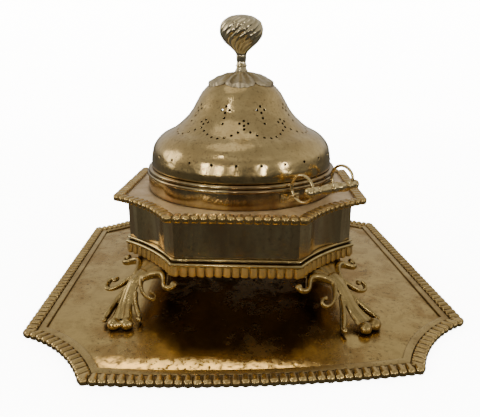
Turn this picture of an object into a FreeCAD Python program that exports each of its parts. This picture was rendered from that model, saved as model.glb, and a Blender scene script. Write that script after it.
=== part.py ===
"""Antique brass brazier on its tray. Millimetres, +Z up, front towards -Y.

Origin: on the table under the middle of the tray. The stand, bowl and lid share the Z axis.
The tray lies loose under the stand and is turned a few degrees from it.
"""
import FreeCAD, Part
import os
from math import atan2, cos, degrees, hypot, pi, radians, sin, sqrt
from FreeCAD import Rotation, Vector

os.makedirs("parts", exist_ok=True)

# Gaps between pieces that lift apart, and round a pin or wire in its hole
REST_GAP = 0.1
PIN_GAP = 0.1

# Tray: outline half width, half length of a straight side, depth of the hollow corner
TRAY_HALF = 280.0
TRAY_STRAIGHT = 186.0
TRAY_SAGITTA = 13.0
TRAY_TURN = 5.35
TRAY_BOW = 11.0
TRAY_SHEET = 2.0
CORNER_SLANT = 0.85
BAND_GAP = 0.6
BAND_WIDTH = 9.0
BAND_HEIGHT = 2.6
TRAY_LOBES = 37
TRAY_CORNER_LOBES = 14
SHEET_INSET = 4.0

# Edge lobes: length, small radius, large radius, axis height over the sheet, web height
TRAY_LOBE = (10.0, 4.2, 5.25, 1.4, 2.2)
PLATE_LOBE = (10.5, 4.0, 5.3, -0.6, 1.4)
EDGE_WEB_INSET = 1.6
BOWED_WEB_SHORT = 0.4

# Stand: top plate with its lobed edge
PLATE_HALF = 175.0
PLATE_STRAIGHT = 87.0
PLATE_SAGITTA = 10.0
PLATE_TOP = 144.0
PLATE_SHEET = 1.5
PLATE_LOBES = 16
PLATE_CORNER_LOBES = 13
PLATE_EDGE_DROP = 4.6

# Stand: sheet walls, with a flat strip each side of every hollow corner
WALL_HALF = 156.0
WALL_STRAIGHT = 79.0
WALL_STRIP = 22.0
WALL_SAGITTA = 8.0
WALL_SHEET = 1.5
WALL_BOTTOM = 85.5

# Stand: base moulding, and the lobed band under it
BASE_HALF = 162.0
BASE_STRAIGHT = 83.4
BASE_SAGITTA = 7.0
BASE_BOTTOM = 61.0
BASE_SPLIT = 75.5
BASE_FLANGE = 26.0
BASE_SHEET = 2.0
BASE_LOBES = 15
BASE_CORNER_LOBES = 11
BASE_LOBE_TOP = 4.7
BASE_LOBE_RADIUS = 5.3
BASE_BAND = (3.6, 8.0)

# Legs: places along the diagonal (u), across it (v) and up (z)
TOE_U = 248.0
TOE_RADIUS = 7.0
TOE_WIDTH = 30.0
TOE_FLAT = 0.6
SCREW_U = 148.0
SCREW_RADIUS = 2.4
SCREW_HEAD_RADIUS = 5.0
SCREW_HEAD = 3.0
SCREW_DEPTH = 11.0
BENT_LEFT_TOE = 50.0
BENT_RIGHT_TOE = -11.0
BEND_START = 188.0
BEND_RUN = 40.0

# Bowl: fire pan, collar that stands on the plate, and its rolled lip
PLATE_HOLE = 133.0
PAN_RADIUS = 131.0
PAN_SHEET = 1.5
PAN_BOTTOM = 92.0
PAN_CORNER = 26.0
COLLAR_RADIUS = 139.5
COLLAR_SHEET = 1.5
COLLAR_FOOT_INSIDE = 131.8
PAN_FLANGE = 6.5
LIP_BULGE = 2.1
LIP_BOTTOM = 165.8
LIP_TOP = 171.0
LIP_INSIDE = 136.5

# Handle: two wire rings in eyes on the collar, joined by a turned grip
HANDLE_AZIMUTH = 45.0
RING_SPREAD = 41.6
RING_OUT = 156.0
RING_Z = 174.3
RING_RADIUS = 17.0
RING_WIRE = 2.1
EYE_ANGLE = 220.0
EYE_RADIUS = 5.4
EYE_WIRE = 1.6
EYE_TILT = 120.0
LUG_SPAN = 5.6
LUG_BOTTOM = 152.5
LUG_TOP = 164.5
LUG_SHEET = 1.8
RIVET_SPAN = 4.1
RIVET_Z = 158.0
RIVET_RADIUS = 1.5

# Grip: its place on each ring, and half of its turned outline as (radius, distance from the middle)
GRIP_ANGLES = (0.0, -20.7)
GRIP = [(6.4, 2.0), (6.4, 4.2), (4.2, 5.6), (4.2, 7.0), (6.6, 12.5), (6.6, 19.0),
        (4.0, 27.5), (4.0, 30.0), (5.6, 31.2), (5.6, 33.0), (4.4, 34.2), (5.6, 37.4),
        (5.6, 44.4), (4.0, 46.0), (6.0, 48.0), (6.0, 50.4), (3.0, 53.0), (0.0, 53.6)]

# Lid: rim bead with a locating sleeve, pierced dome, leaf rosette and knob
SLEEVE_INSIDE = 132.4
SLEEVE_SHEET = 1.6
SLEEVE_BOTTOM = 162.0
RIM_RADIUS = 139.3
RIM_BULGE = 1.8
RIM_TOP = 176.2
DOME_SHEET = 1.2
HOLE_RADIUS = 1.5
STUD_RADIUS = 3.0
CROWN_Z = 302.6
WASHER_HEIGHT = 1.1
NUT_HEIGHT = 4.8
NUT_RADIUS = 6.0
STUD_BOTTOM = 292.0
STEM_FOOT_Z = 310.2
STEM_FOOT_RADIUS = 9.6
STEM_RADIUS = 7.2
TENON_RADIUS = 3.2
TENON_HEIGHT = 9.0
KNOB_Z = 332.0
TOP_Z = 386.0


def save(name, shape):
    shape.exportStep("parts/" + name + ".step")


def box(low, high):
    size = [b - a for a, b in zip(low, high)]
    return Part.makeBox(size[0], size[1], size[2], Vector(*low))


def turned(shape, angle):
    copy = shape.copy()
    copy.rotate(Vector(0, 0, 0), Vector(0, 0, 1), angle)
    return copy


def spun(points):
    """Solid of revolution about Z from (r, z) points; a third value bulges the run before it."""
    edges = []
    for start, end in zip(points, points[1:] + points[:1]):
        a = Vector(start[0], 0, start[1])
        b = Vector(end[0], 0, end[1])
        if len(end) == 3:
            across = Vector(0, 1, 0).cross(b - a).normalize()
            middle = (a + b) * 0.5 + across * end[2]
            edges.append(Part.Arc(a, middle, b).toShape())
        else:
            edges.append(Part.LineSegment(a, b).toShape())
    face = Part.Face(Part.Wire(edges))
    return face.revolve(Vector(0, 0, 0), Vector(0, 0, 1), 360)


def outline(half, straight, sagitta):
    """Square with hollow corners: half width, arc centre on the diagonal, arc radius."""
    chord = (half - straight) / sqrt(2)
    radius = (chord ** 2 + sagitta ** 2) / (2 * sagitta)
    centre = (half + straight) / 2 + (radius - sagitta) / sqrt(2)
    return (half, centre, radius)


def inset(shape, distance):
    half, centre, radius = shape
    return (half - distance, centre, radius + distance)


def corner(shape):
    """Half length of the straight side, where it meets the hollow arcs."""
    half, centre, radius = shape
    return centre - sqrt(radius ** 2 - (centre - half) ** 2)


def arc_middle(shape):
    half, centre, radius = shape
    return (centre * sqrt(2) - radius) / sqrt(2)


def outline_wire(shape, z=0.0, bow=0.0):
    """Closed outline, counter-clockwise seen from above, front side first and perhaps bowed."""
    half = shape[0]
    straight = corner(shape)
    middle = arc_middle(shape)
    edges = []
    for side in range(4):
        turn = Rotation(Vector(0, 0, 1), 90 * side)
        a = turn.multVec(Vector(-straight, -half, z))
        b = turn.multVec(Vector(straight, -half, z))
        m = turn.multVec(Vector(middle, -middle, z))
        c = turn.multVec(Vector(half, -straight, z))
        edges.append(side_edge(a, b, bow if side == 0 else 0.0))
        edges.append(Part.Arc(b, m, c).toShape())
    return Part.Wire(edges)


def side_edge(start, end, bow):
    """Straight or outward bowed edge along the front."""
    if bow == 0.0:
        return Part.LineSegment(start, end).toShape()
    return Part.Arc(start, (start + end) * 0.5 + Vector(0, -bow, 0), end).toShape()


def slab(shape, low, high, bow=0.0):
    return Part.Face(outline_wire(shape, low, bow)).extrude(Vector(0, 0, high - low))


def side_region(shape, outer, inner, low, high, bow=0.0):
    """Front side of the outline between two insets, mitred at its ends."""
    a = inset(shape, outer)
    b = inset(shape, inner)
    p = [Vector(-corner(a), -a[0], low), Vector(corner(a), -a[0], low),
         Vector(corner(b), -b[0], low), Vector(-corner(b), -b[0], low)]
    edges = [side_edge(p[0], p[1], bow), Part.LineSegment(p[1], p[2]).toShape(),
             side_edge(p[2], p[3], bow), Part.LineSegment(p[3], p[0]).toShape()]
    return Part.Face(Part.Wire(edges)).extrude(Vector(0, 0, high - low))


def corner_region(shape, outer, inner, low, high, bow=0.0):
    """Front right hollow corner of the outline between two insets, mitred at its ends."""
    a = inset(shape, outer)
    b = inset(shape, inner)
    p = [Vector(corner(a), -a[0], low), Vector(a[0], -corner(a), low),
         Vector(b[0], -corner(b), low), Vector(corner(b), -b[0], low)]
    ma = Vector(arc_middle(a), -arc_middle(a), low)
    mb = Vector(arc_middle(b), -arc_middle(b), low)
    edges = [Part.Arc(p[0], ma, p[1]).toShape(), Part.LineSegment(p[1], p[2]).toShape(),
             Part.Arc(p[2], mb, p[3]).toShape(), Part.LineSegment(p[3], p[0]).toShape()]
    return Part.Face(Part.Wire(edges)).extrude(Vector(0, 0, high - low))


def lobe(start, direction, length, start_radius, end_radius):
    """Tear-shaped bead that widens from its start to a round end."""
    points = [Vector(0, 0, 0), Vector(start_radius, 0, 0), Vector(end_radius, 0, length)]
    edges = [Part.LineSegment(points[0], points[1]).toShape(),
             Part.LineSegment(points[1], points[2]).toShape()]
    tip = Vector(0, 0, length + end_radius)
    middle = Vector(end_radius * sin(pi / 4), 0, length + end_radius * cos(pi / 4))
    edges.append(Part.Arc(points[2], middle, tip).toShape())
    edges.append(Part.LineSegment(tip, points[0]).toShape())
    solid = Part.Face(Part.Wire(edges)).revolve(Vector(0, 0, 0), Vector(0, 0, 1), 360)
    place = FreeCAD.Placement(start, Rotation(Vector(0, 0, 1), direction))
    solid.Placement = place
    return solid


def side_places(shape, count, bow=0.0):
    """Edge points and lobe directions along the front side."""
    straight = corner(shape)
    pitch = 2 * straight / count
    places = []
    for i in range(count):
        x = -straight + pitch * (i + 0.5)
        y = -shape[0] - bow * (1 - (x / straight) ** 2)
        places.append((Vector(x, y, 0), Vector(0, -1, 0)))
    return places


def corner_places(shape, count, slant):
    """Edge points and lobe directions round the front right corner; slant 1 keeps them diagonal."""
    half, centre, radius = shape
    middle = Vector(centre, -centre, 0)
    first = atan2(centre - half, corner(shape) - centre)
    last = atan2(centre - corner(shape), half - centre)
    diagonal = Vector(1, -1, 0).normalize()
    places = []
    for i in range(count):
        angle = first + (last - first) * (i + 0.5) / count
        point = middle + Vector(radius * cos(angle), radius * sin(angle), 0)
        normal = (middle - point).normalize()
        places.append((point, (normal * (1 - slant) + diagonal * slant).normalize()))
    return places


def lobed_edge(shape, region, places, sheet_top, bottom, sizes, bow=0.0):
    """Row of lobes lying on a sheet's edge and wrapped round it."""
    length, small, large, rise, web = sizes
    axis = sheet_top + rise
    reach = length + large
    inner = reach - (BOWED_WEB_SHORT if bow else 0.0)
    body = region(shape, EDGE_WEB_INSET, inner, bottom, sheet_top + web, bow)
    lobes = []
    for point, direction in places:
        start = point - direction * reach
        lobes.append(lobe(Vector(start.x, start.y, axis), direction, length, small, large))
    whole = body.multiFuse(lobes)
    whole = whole.common(region(shape, -3.0, reach + 0.5, bottom, axis + 2 * large, bow))
    below = slab(inset(shape, SHEET_INSET), bottom - 1, sheet_top, bow)
    return whole.cut(below).removeSplitter()


def biggest(shape):
    return max(shape.Solids, key=lambda s: s.Volume)


def around(name, solid, turn=0.0, places=("front", "right", "back", "left")):
    """Save one solid four times, turned a quarter each time."""
    for index, place in enumerate(places):
        save(name + "_" + place, turned(solid, turn + 90 * index))


CORNERS = ("front_right", "back_right", "back_left", "front_left")


def make_tray():
    shape = outline(TRAY_HALF, TRAY_STRAIGHT, TRAY_SAGITTA)
    sheet = slab(inset(shape, SHEET_INSET), 0, TRAY_SHEET, TRAY_BOW)
    save("tray_plate", turned(sheet, TRAY_TURN))
    edge = lobed_edge(shape, side_region, side_places(shape, TRAY_LOBES, TRAY_BOW),
                      TRAY_SHEET, 0.0, TRAY_LOBE, TRAY_BOW)
    save("tray_edge_front", turned(biggest(edge), TRAY_TURN))
    edge = lobed_edge(shape, side_region, side_places(shape, TRAY_LOBES),
                      TRAY_SHEET, 0.0, TRAY_LOBE)
    around("tray_edge", biggest(edge), TRAY_TURN + 90, ("right", "back", "left"))
    edge = lobed_edge(shape, corner_region, corner_places(shape, TRAY_CORNER_LOBES, CORNER_SLANT),
                      TRAY_SHEET, 0.0, TRAY_LOBE)
    around("tray_corner_edge", biggest(edge), TRAY_TURN, CORNERS)
    inner = TRAY_LOBE[0] + TRAY_LOBE[2] + BAND_GAP
    top = TRAY_SHEET + BAND_HEIGHT
    band = side_region(shape, inner, inner + BAND_WIDTH, TRAY_SHEET, top, TRAY_BOW)
    save("tray_band_front", turned(band, TRAY_TURN))
    band = side_region(shape, inner, inner + BAND_WIDTH, TRAY_SHEET, top)
    around("tray_band", band, TRAY_TURN + 90, ("right", "back", "left"))
    band = corner_region(shape, inner, inner + BAND_WIDTH, TRAY_SHEET, top)
    around("tray_corner_band", band, TRAY_TURN, CORNERS)


def wall_wire(half, straight, strip, radius, z):
    """Wall outline: straight side, flat strip, hollow arc, flat strip, and so on round."""
    run = strip / sqrt(2)
    start = Vector(straight + run, -half + run, z)
    end = Vector(half - run, -straight - run, z)
    chord = (end - start).Length / 2
    sagitta = radius - sqrt(radius ** 2 - chord ** 2)
    middle = (start + end) * 0.5 + Vector(-1, 1, 0).normalize() * sagitta
    edges = []
    for side in range(4):
        turn = Rotation(Vector(0, 0, 1), 90 * side)
        p = [turn.multVec(q) for q in (Vector(-straight, -half, z), Vector(straight, -half, z),
                                       start, middle, end, Vector(half, -straight, z))]
        edges.append(Part.LineSegment(p[0], p[1]).toShape())
        edges.append(Part.LineSegment(p[1], p[2]).toShape())
        edges.append(Part.Arc(p[2], p[3], p[4]).toShape())
        edges.append(Part.LineSegment(p[4], p[5]).toShape())
    return Part.Wire(edges)


def make_walls():
    chord = (WALL_HALF - WALL_STRAIGHT) / sqrt(2) - WALL_STRIP
    radius = (chord ** 2 + WALL_SAGITTA ** 2) / (2 * WALL_SAGITTA)
    height = Vector(0, 0, PLATE_TOP - PLATE_SHEET - WALL_BOTTOM)
    outer = wall_wire(WALL_HALF, WALL_STRAIGHT, WALL_STRIP, radius, WALL_BOTTOM)
    shift = WALL_SHEET * (sqrt(2) - 1)
    inner = wall_wire(WALL_HALF - WALL_SHEET, WALL_STRAIGHT - shift, WALL_STRIP,
                      radius + WALL_SHEET, WALL_BOTTOM)
    walls = Part.Face(outer).extrude(height).cut(Part.Face(inner).extrude(height))
    save("stand_walls", walls)


def make_base():
    shape = outline(BASE_HALF, BASE_STRAIGHT, BASE_SAGITTA)
    steps = [(2.4, BASE_SPLIT), (0.0, BASE_SPLIT + 1.2), (0.0, BASE_SPLIT + 3.6),
             (1.2, BASE_SPLIT + 6.0), (3.6, BASE_SPLIT + 7.8), (4.4, BASE_SPLIT + 8.2),
             (4.4, WALL_BOTTOM)]
    wires = [outline_wire(inset(shape, d), z) for d, z in steps]
    ovolo = Part.makeLoft(wires, True, True)
    hollow = slab(inset(shape, BASE_FLANGE), BASE_SPLIT - 1, WALL_BOTTOM + 1)
    room = slab(inset(shape, 9.5), BASE_SPLIT + BASE_SHEET, WALL_BOTTOM + 1)
    moulding = ovolo.cut(hollow).cut(room)
    for angle in (45, 135, 225, 315):
        spot = turned(Part.makeCylinder(SCREW_RADIUS + PIN_GAP, 20, Vector(SCREW_U, 0, BASE_SPLIT - 5)),
                      angle)
        moulding = moulding.cut(spot)
    save("base_moulding", moulding)
    down = Vector(0, 0, -1)
    length = BASE_SPLIT - BASE_BOTTOM - BASE_LOBE_RADIUS
    outer, inner = BASE_BAND
    for region, places, names in (
            (side_region, side_places(shape, BASE_LOBES), ("front", "right", "back", "left")),
            (corner_region, corner_places(shape, BASE_CORNER_LOBES, 0.0), CORNERS)):
        body = region(shape, outer, inner, BASE_BOTTOM + 2.0, BASE_SPLIT)
        lobes = []
        for point, out in places:
            start = point - out * BASE_LOBE_RADIUS
            lobes.append(lobe(Vector(start.x, start.y, BASE_SPLIT), down, length,
                              BASE_LOBE_TOP, BASE_LOBE_RADIUS))
        whole = body.multiFuse(lobes).common(region(shape, -1, inner, BASE_BOTTOM, BASE_SPLIT))
        name = "base_lobes" if region is side_region else "base_corner_lobes"
        around(name, biggest(whole.removeSplitter()), 0, names)


def make_plate():
    shape = outline(PLATE_HALF, PLATE_STRAIGHT, PLATE_SAGITTA)
    sheet = slab(inset(shape, SHEET_INSET), PLATE_TOP - PLATE_SHEET, PLATE_TOP)
    hole = Part.makeCylinder(PLATE_HOLE, 10, Vector(0, 0, PLATE_TOP - 5))
    save("top_plate", sheet.cut(hole))
    for region, places, names in (
            (side_region, side_places(shape, PLATE_LOBES), ("front", "right", "back", "left")),
            (corner_region, corner_places(shape, PLATE_CORNER_LOBES, 0.0), CORNERS)):
        edge = lobed_edge(shape, region, places, PLATE_TOP, PLATE_TOP - PLATE_EDGE_DROP,
                          PLATE_LOBE)
        name = "plate_edge" if region is side_region else "plate_corner_edge"
        around(name, biggest(edge.cut(sheet)), 0, names)


def section(centre, across, up, width, height, sides=8):
    """Closed polygon of an oval of the given half sizes about a centre."""
    points = []
    for i in range(sides):
        angle = 2 * pi * (i + 0.5) / sides
        points.append(centre + across * (width * cos(angle)) + up * (height * sin(angle)))
    return Part.makePolygon(points + [points[0]])


def horn(stations, across_hint):
    """Solid lofted through oval sections: (point, half width, half height) along its length."""
    wires = []
    last = len(stations) - 1
    for i, (point, width, height) in enumerate(stations):
        before = stations[max(i - 1, 0)][0]
        after = stations[min(i + 1, last)][0]
        along = (after - before).normalize()
        up = along.cross(across_hint).normalize()
        across = up.cross(along).normalize()
        wires.append(section(point, across, up, width, height))
    return Part.makeLoft(wires, True, True)


def leg_point(u, v, z, bend):
    """Point of a leg whose lower part is bent sideways by an angle."""
    reach = u - BEND_START
    if bend == 0.0 or reach <= 0.0:
        return Vector(u, v, z)
    radius = BEND_RUN / radians(bend)
    turn = min(reach, BEND_RUN) / radius
    rest = max(reach - BEND_RUN, 0.0)
    x = BEND_START + radius * sin(turn) + rest * cos(turn) - v * sin(turn)
    y = radius * (1 - cos(turn)) + rest * sin(turn) + v * cos(turn)
    return Vector(x, y, z)


def make_leg(bend):
    """Leg on the +X axis: a leaf-shaped stem to a rolled toe, with a C scroll each side."""
    floor = TRAY_SHEET + REST_GAP
    toe_z = floor + TOE_RADIUS - TOE_FLAT
    spine = [(SCREW_U, 70.0, 12, 5), (154, 62.5, 30, 4), (163, 57, 34, 3.6), (169, 54, 28, 3.6),
             (175, 52, 19, 3.6), (182, 49, 13, 3.8), (193, 43, 11.5, 4), (203, 33, 10.5, 4),
             (213, 22, 9.5, 4), (225, 13.5, 12, 3.6), (236, 10, 15, 3.4), (TOE_U, toe_z, 14, 3.4)]
    stem = horn([(leg_point(u, 0, z, bend), w, t) for u, z, w, t in spine], Vector(0, 1, 0))
    first = leg_point(TOE_U, -TOE_WIDTH / 2, toe_z, bend)
    last = leg_point(TOE_U, TOE_WIDTH / 2, toe_z, bend)
    toe = Part.makeCylinder(TOE_RADIUS, TOE_WIDTH, first, last - first)
    pad = box((SCREW_U - 8, -11, 62), (SCREW_U + 5, 11, BASE_SPLIT))
    pieces = [toe, pad]
    arch = [(183, 9, 48.3, 4.2), (177, 15, 50.8, 4.0), (171.5, 24, 52.6, 3.9), (171, 33, 51.9, 3.7),
            (174.5, 41, 50.1, 3.5), (178.5, 47, 47.8, 3.3), (179.5, 53, 46.9, 3.2),
            (175, 57.5, 48.0, 3.2), (169.5, 57.5, 49.8, 2.8)]
    hook = [(190, 8, 44.5, 4.2), (197, 14.5, 38.8, 3.8), (201.5, 20, 34.0, 3.5),
            (205, 26.5, 30.0, 3.4), (206, 33.5, 28.4, 3.3), (204.5, 39.5, 29.5, 3.2),
            (200, 42, 33.2, 2.8)]
    for side in (-1, 1):
        for path in (arch, hook):
            stations = [(leg_point(u, side * v, z, bend), r, r) for u, v, z, r in path]
            pieces.append(horn(stations, Vector(1, 0, 0.7)))
    leg = stem.multiFuse(pieces)
    leg = leg.cut(box((0, -100, BASE_SPLIT), (400, 100, 120)))
    leg = leg.cut(box((0, -100, -20), (400, 100, floor)))
    base = outline(BASE_HALF, BASE_STRAIGHT, BASE_SAGITTA)
    lobes = corner_region(base, -1, BASE_BAND[1], BASE_BOTTOM, BASE_SPLIT)
    leg = leg.cut(turned(lobes, 45))
    deep = SCREW_DEPTH + 1.0
    hole = Part.makeCylinder(SCREW_RADIUS + PIN_GAP, deep, Vector(SCREW_U, 0, BASE_SPLIT - deep))
    return biggest(leg.cut(hole))


def make_legs():
    leg = make_leg(0.0)
    bends = {"front_right": BENT_RIGHT_TOE, "front_left": BENT_LEFT_TOE}
    seat = BASE_SPLIT + BASE_SHEET
    length = SCREW_DEPTH + BASE_SHEET
    shank = Part.makeCylinder(SCREW_RADIUS, length, Vector(SCREW_U, 0, seat - length))
    head = Part.makeCylinder(SCREW_HEAD_RADIUS, SCREW_HEAD, Vector(SCREW_U, 0, seat))
    screw = shank.fuse(head)
    for i, place in enumerate(CORNERS):
        cast = make_leg(bends[place]) if place in bends else leg
        save("leg_" + place, turned(cast, -45 + 90 * i))
    save("leg_screws", Part.makeCompound([turned(screw, -45 + 90 * i) for i in range(4)]))


def make_bowl():
    out = PAN_RADIUS
    wall = PAN_SHEET
    seat = PLATE_TOP + REST_GAP
    shelf = seat + COLLAR_SHEET
    knee = sin(pi / 4)
    low = PAN_BOTTOM
    bend = PAN_CORNER
    outer_middle = Vector(out - bend + bend * knee, 0, low + bend - bend * knee)
    inner_bend = bend - wall
    inner_middle = Vector(out - bend + inner_bend * knee, 0, low + bend - inner_bend * knee)
    top = shelf + wall
    p = [Vector(0, 0, low), Vector(out - bend, 0, low), Vector(out, 0, low + bend),
         Vector(out, 0, shelf), Vector(out + PAN_FLANGE, 0, shelf), Vector(out + PAN_FLANGE, 0, top),
         Vector(out - wall, 0, top), Vector(out - wall, 0, low + bend),
         Vector(out - bend, 0, low + wall), Vector(0, 0, low + wall)]
    edges = [Part.LineSegment(p[0], p[1]).toShape(), Part.Arc(p[1], outer_middle, p[2]).toShape()]
    edges += [Part.LineSegment(p[i], p[i + 1]).toShape() for i in range(2, 7)]
    edges += [Part.Arc(p[7], inner_middle, p[8]).toShape(),
              Part.LineSegment(p[8], p[9]).toShape(), Part.LineSegment(p[9], p[0]).toShape()]
    pan = Part.Face(Part.Wire(edges)).revolve(Vector(0, 0, 0), Vector(0, 0, 1), 360)
    save("fire_pan", pan)
    inside = COLLAR_RADIUS - COLLAR_SHEET
    collar = spun([(COLLAR_FOOT_INSIDE, seat), (COLLAR_RADIUS, seat), (COLLAR_RADIUS, LIP_BOTTOM),
                   (inside, LIP_BOTTOM), (inside, shelf), (COLLAR_FOOT_INSIDE, shelf)])
    lip = spun([(LIP_INSIDE, LIP_BOTTOM), (COLLAR_RADIUS - 0.6, LIP_BOTTOM),
                (COLLAR_RADIUS - 0.6, LIP_TOP, LIP_BULGE), (LIP_INSIDE, LIP_TOP)])
    save("collar_lip", lip)
    rivets = []
    for side in (-1, 1):
        for offset in (-RIVET_SPAN, RIVET_SPAN):
            rivets.append(side * handle_span() + HANDLE_AZIMUTH + offset)
    hole = Part.makeCylinder(RIVET_RADIUS + PIN_GAP, 12, Vector(0, -COLLAR_RADIUS + 6, RIVET_Z),
                             Vector(0, -1, 0))
    for angle in rivets:
        collar = collar.cut(turned(hole, angle))
    save("bowl_collar", collar)
    make_lugs(hole)
    save("lug_rivets", Part.makeCompound([turned(rivet(), angle).cut(collar) for angle in rivets]))


def handle_span():
    """Angle from the middle of the handle to each eye, seen from the axis."""
    eye_out = RING_OUT + RING_RADIUS * cos(radians(EYE_ANGLE))
    return degrees(atan2(RING_SPREAD, eye_out))


def rivet():
    face = COLLAR_RADIUS + LUG_SHEET
    back = COLLAR_RADIUS - COLLAR_SHEET
    profile = [(0, back - 1.4), (RIVET_RADIUS + 1.2, back - 0.8), (RIVET_RADIUS + 1.2, back),
               (RIVET_RADIUS, back), (RIVET_RADIUS, face), (3.0, face), (2.2, face + 1.5),
               (0, face + 2.0)]
    pin = spun(profile)
    pin.rotate(Vector(0, 0, 0), Vector(1, 0, 0), 90)
    pin.translate(Vector(0, 0, RIVET_Z))
    return pin


def handle_point(out, along, z):
    """Point or direction out from the axis towards the handle, along the handle, and up."""
    a = radians(HANDLE_AZIMUTH)
    return Vector(out * sin(a) + along * cos(a), -out * cos(a) + along * sin(a), z)


def make_lugs(hole):
    for side, place in ((-1, "front"), (1, "back")):
        angle = HANDLE_AZIMUTH + side * handle_span()
        strap = spun([(COLLAR_RADIUS, LUG_BOTTOM), (COLLAR_RADIUS + LUG_SHEET, LUG_BOTTOM + 0.4),
                      (COLLAR_RADIUS + LUG_SHEET, LUG_TOP - 0.4), (COLLAR_RADIUS, LUG_TOP)])
        half = radians(LUG_SPAN)
        far = 2 * COLLAR_RADIUS
        wedge = Part.makePolygon([Vector(0, 0, 0), Vector(-far * sin(half), -far * cos(half), 0),
                                  Vector(far * sin(half), -far * cos(half), 0), Vector(0, 0, 0)])
        strap = strap.common(Part.Face(wedge).extrude(Vector(0, 0, 400)))
        for offset in (-RIVET_SPAN, RIVET_SPAN):
            strap = strap.cut(turned(hole, offset))
        strap = turned(strap, angle)
        turn = radians(EYE_ANGLE)
        eye = handle_point(RING_OUT + RING_RADIUS * cos(turn), side * RING_SPREAD,
                           RING_Z + RING_RADIUS * sin(turn))
        tilt = radians(EYE_TILT)
        axis = handle_point(cos(tilt), 0, sin(tilt))
        loop = Part.makeTorus(EYE_RADIUS, EYE_WIRE, eye, axis)
        inward = handle_point(-sin(tilt), 0, cos(tilt))
        neck_start = eye + inward * (EYE_RADIUS + 0.2)
        reach = (COLLAR_RADIUS + 0.6 - hypot(neck_start.x, neck_start.y)) / -sin(tilt)
        neck = Part.makeCone(1.7, 3.2, reach, neck_start, inward)
        inside = Part.makeCylinder(COLLAR_RADIUS, 60, Vector(0, 0, 130))
        lug = strap.fuse([loop, neck]).cut(inside)
        save("handle_lug_" + place, biggest(lug))


def make_handle():
    axis = handle_point(0, 1, 0)
    bores = []
    holds = []
    for side, place, angle in ((-1, "front", GRIP_ANGLES[0]), (1, "back", GRIP_ANGLES[1])):
        centre = handle_point(RING_OUT, side * RING_SPREAD, RING_Z)
        save("handle_ring_" + place, Part.makeTorus(RING_RADIUS, RING_WIRE, centre, axis))
        bores.append(Part.makeTorus(RING_RADIUS, RING_WIRE + PIN_GAP, centre, axis))
        turn = radians(angle)
        holds.append(handle_point(RING_OUT + RING_RADIUS * cos(turn), side * RING_SPREAD,
                                  RING_Z + RING_RADIUS * sin(turn)))
    grip = spun([(r, -along) for r, along in reversed(GRIP)] + GRIP)
    along = holds[1] - holds[0]
    grip.Placement = FreeCAD.Placement((holds[0] + holds[1]) * 0.5, Rotation(Vector(0, 0, 1), along))
    save("handle_grip", grip.cut(bores[0]).cut(bores[1]))


# Dome outside as (radius, height): belly, shoulder, hollow waist and crown
DOME = [(133.6, RIM_TOP), (133.5, 190.0), (129.0, 207.5), (117.0, 221.6), (97.5, 232.4),
        (81.0, 246.4), (71.5, 258.0), (64.5, 270.0), (56.0, 283.4), (44.0, 294.0),
        (26.0, 301.0), (12.0, CROWN_Z)]
DOME_JOINS = (RIM_TOP, 205.0, 221.0, 233.0, 250.0, 276.0, 295.0, CROWN_Z)


def dome_curve():
    curve = Part.BSplineCurve()
    points = [Vector(r, 0, z) for r, z in DOME]
    curve.interpolate(points, InitialTangent=Vector(0, 0, 1), FinalTangent=Vector(-1, 0, 0))
    return curve


def dome_place(curve, z):
    """Point and outward normal of the dome's outline at a height."""
    low, high = curve.FirstParameter, curve.LastParameter
    for _ in range(40):
        middle = (low + high) / 2
        if curve.value(middle).z < z:
            low = middle
        else:
            high = middle
    tangent = curve.tangent(low)[0]
    return curve.value(low), Vector(tangent.z, 0, -tangent.x)


def pierced_places():
    """(azimuth, height) of each hole: belly row, and nine swags with knots and flowers over them."""
    places = [(360.0 / 26 * i - 0.4, 200.0) for i in range(26)]
    for i in range(9):
        knot = 40.0 * i + 4.7
        places += [(knot, 249.2), (knot - 4.1, 246.2), (knot + 4.1, 246.2), (knot, 243.8),
                   (knot, 239.6)]
        for j in range(7):
            places.append((knot + 5.0 + 5.0 * j, 236.4 - 6.9 * sin(pi * j / 6)))
        flower = knot - 20.0
        places += [(flower, 266.6), (flower - 4.5, 262.2), (flower + 4.5, 262.2),
                   (flower, 258.6), (flower, 252.2), (flower, 245.4)]
    return places


def dome_profile(curve, depth):
    """Arcs through the outline's points, moved in by a depth along its normals."""
    edges = []
    for low, high in zip(DOME_JOINS, DOME_JOINS[1:]):
        run = []
        for z in (low, (low + high) / 2, high):
            point, normal = dome_place(curve, z)
            run.append(point - normal * depth)
        edges.append(Part.Arc(*run).toShape())
    return edges


def dome_solid(curve, depth):
    """Everything under the dome's outline at a depth below its surface."""
    edges = dome_profile(curve, depth)
    foot = edges[0].Vertexes[0].Point
    crown = edges[-1].Vertexes[-1].Point
    floor = Vector(0, 0, foot.z)
    top = Vector(0, 0, crown.z)
    edges += [Part.LineSegment(crown, top).toShape(), Part.LineSegment(top, floor).toShape(),
              Part.LineSegment(floor, foot).toShape()]
    face = Part.Face(Part.Wire(edges))
    return face.revolve(Vector(0, 0, 0), Vector(0, 0, 1), 360)


def make_dome(curve):
    dome = dome_solid(curve, 0.0).cut(dome_solid(curve, DOME_SHEET))
    drills = [Part.makeCylinder(STUD_RADIUS + PIN_GAP, 20, Vector(0, 0, CROWN_Z - 10))]
    for azimuth, z in pierced_places():
        point, normal = dome_place(curve, z)
        drill = Part.makeCylinder(HOLE_RADIUS, 5, point - normal * 3.0, normal)
        drills.append(turned(drill, azimuth - 90))
    save("lid_dome", dome.cut(Part.makeCompound(drills)))


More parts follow.
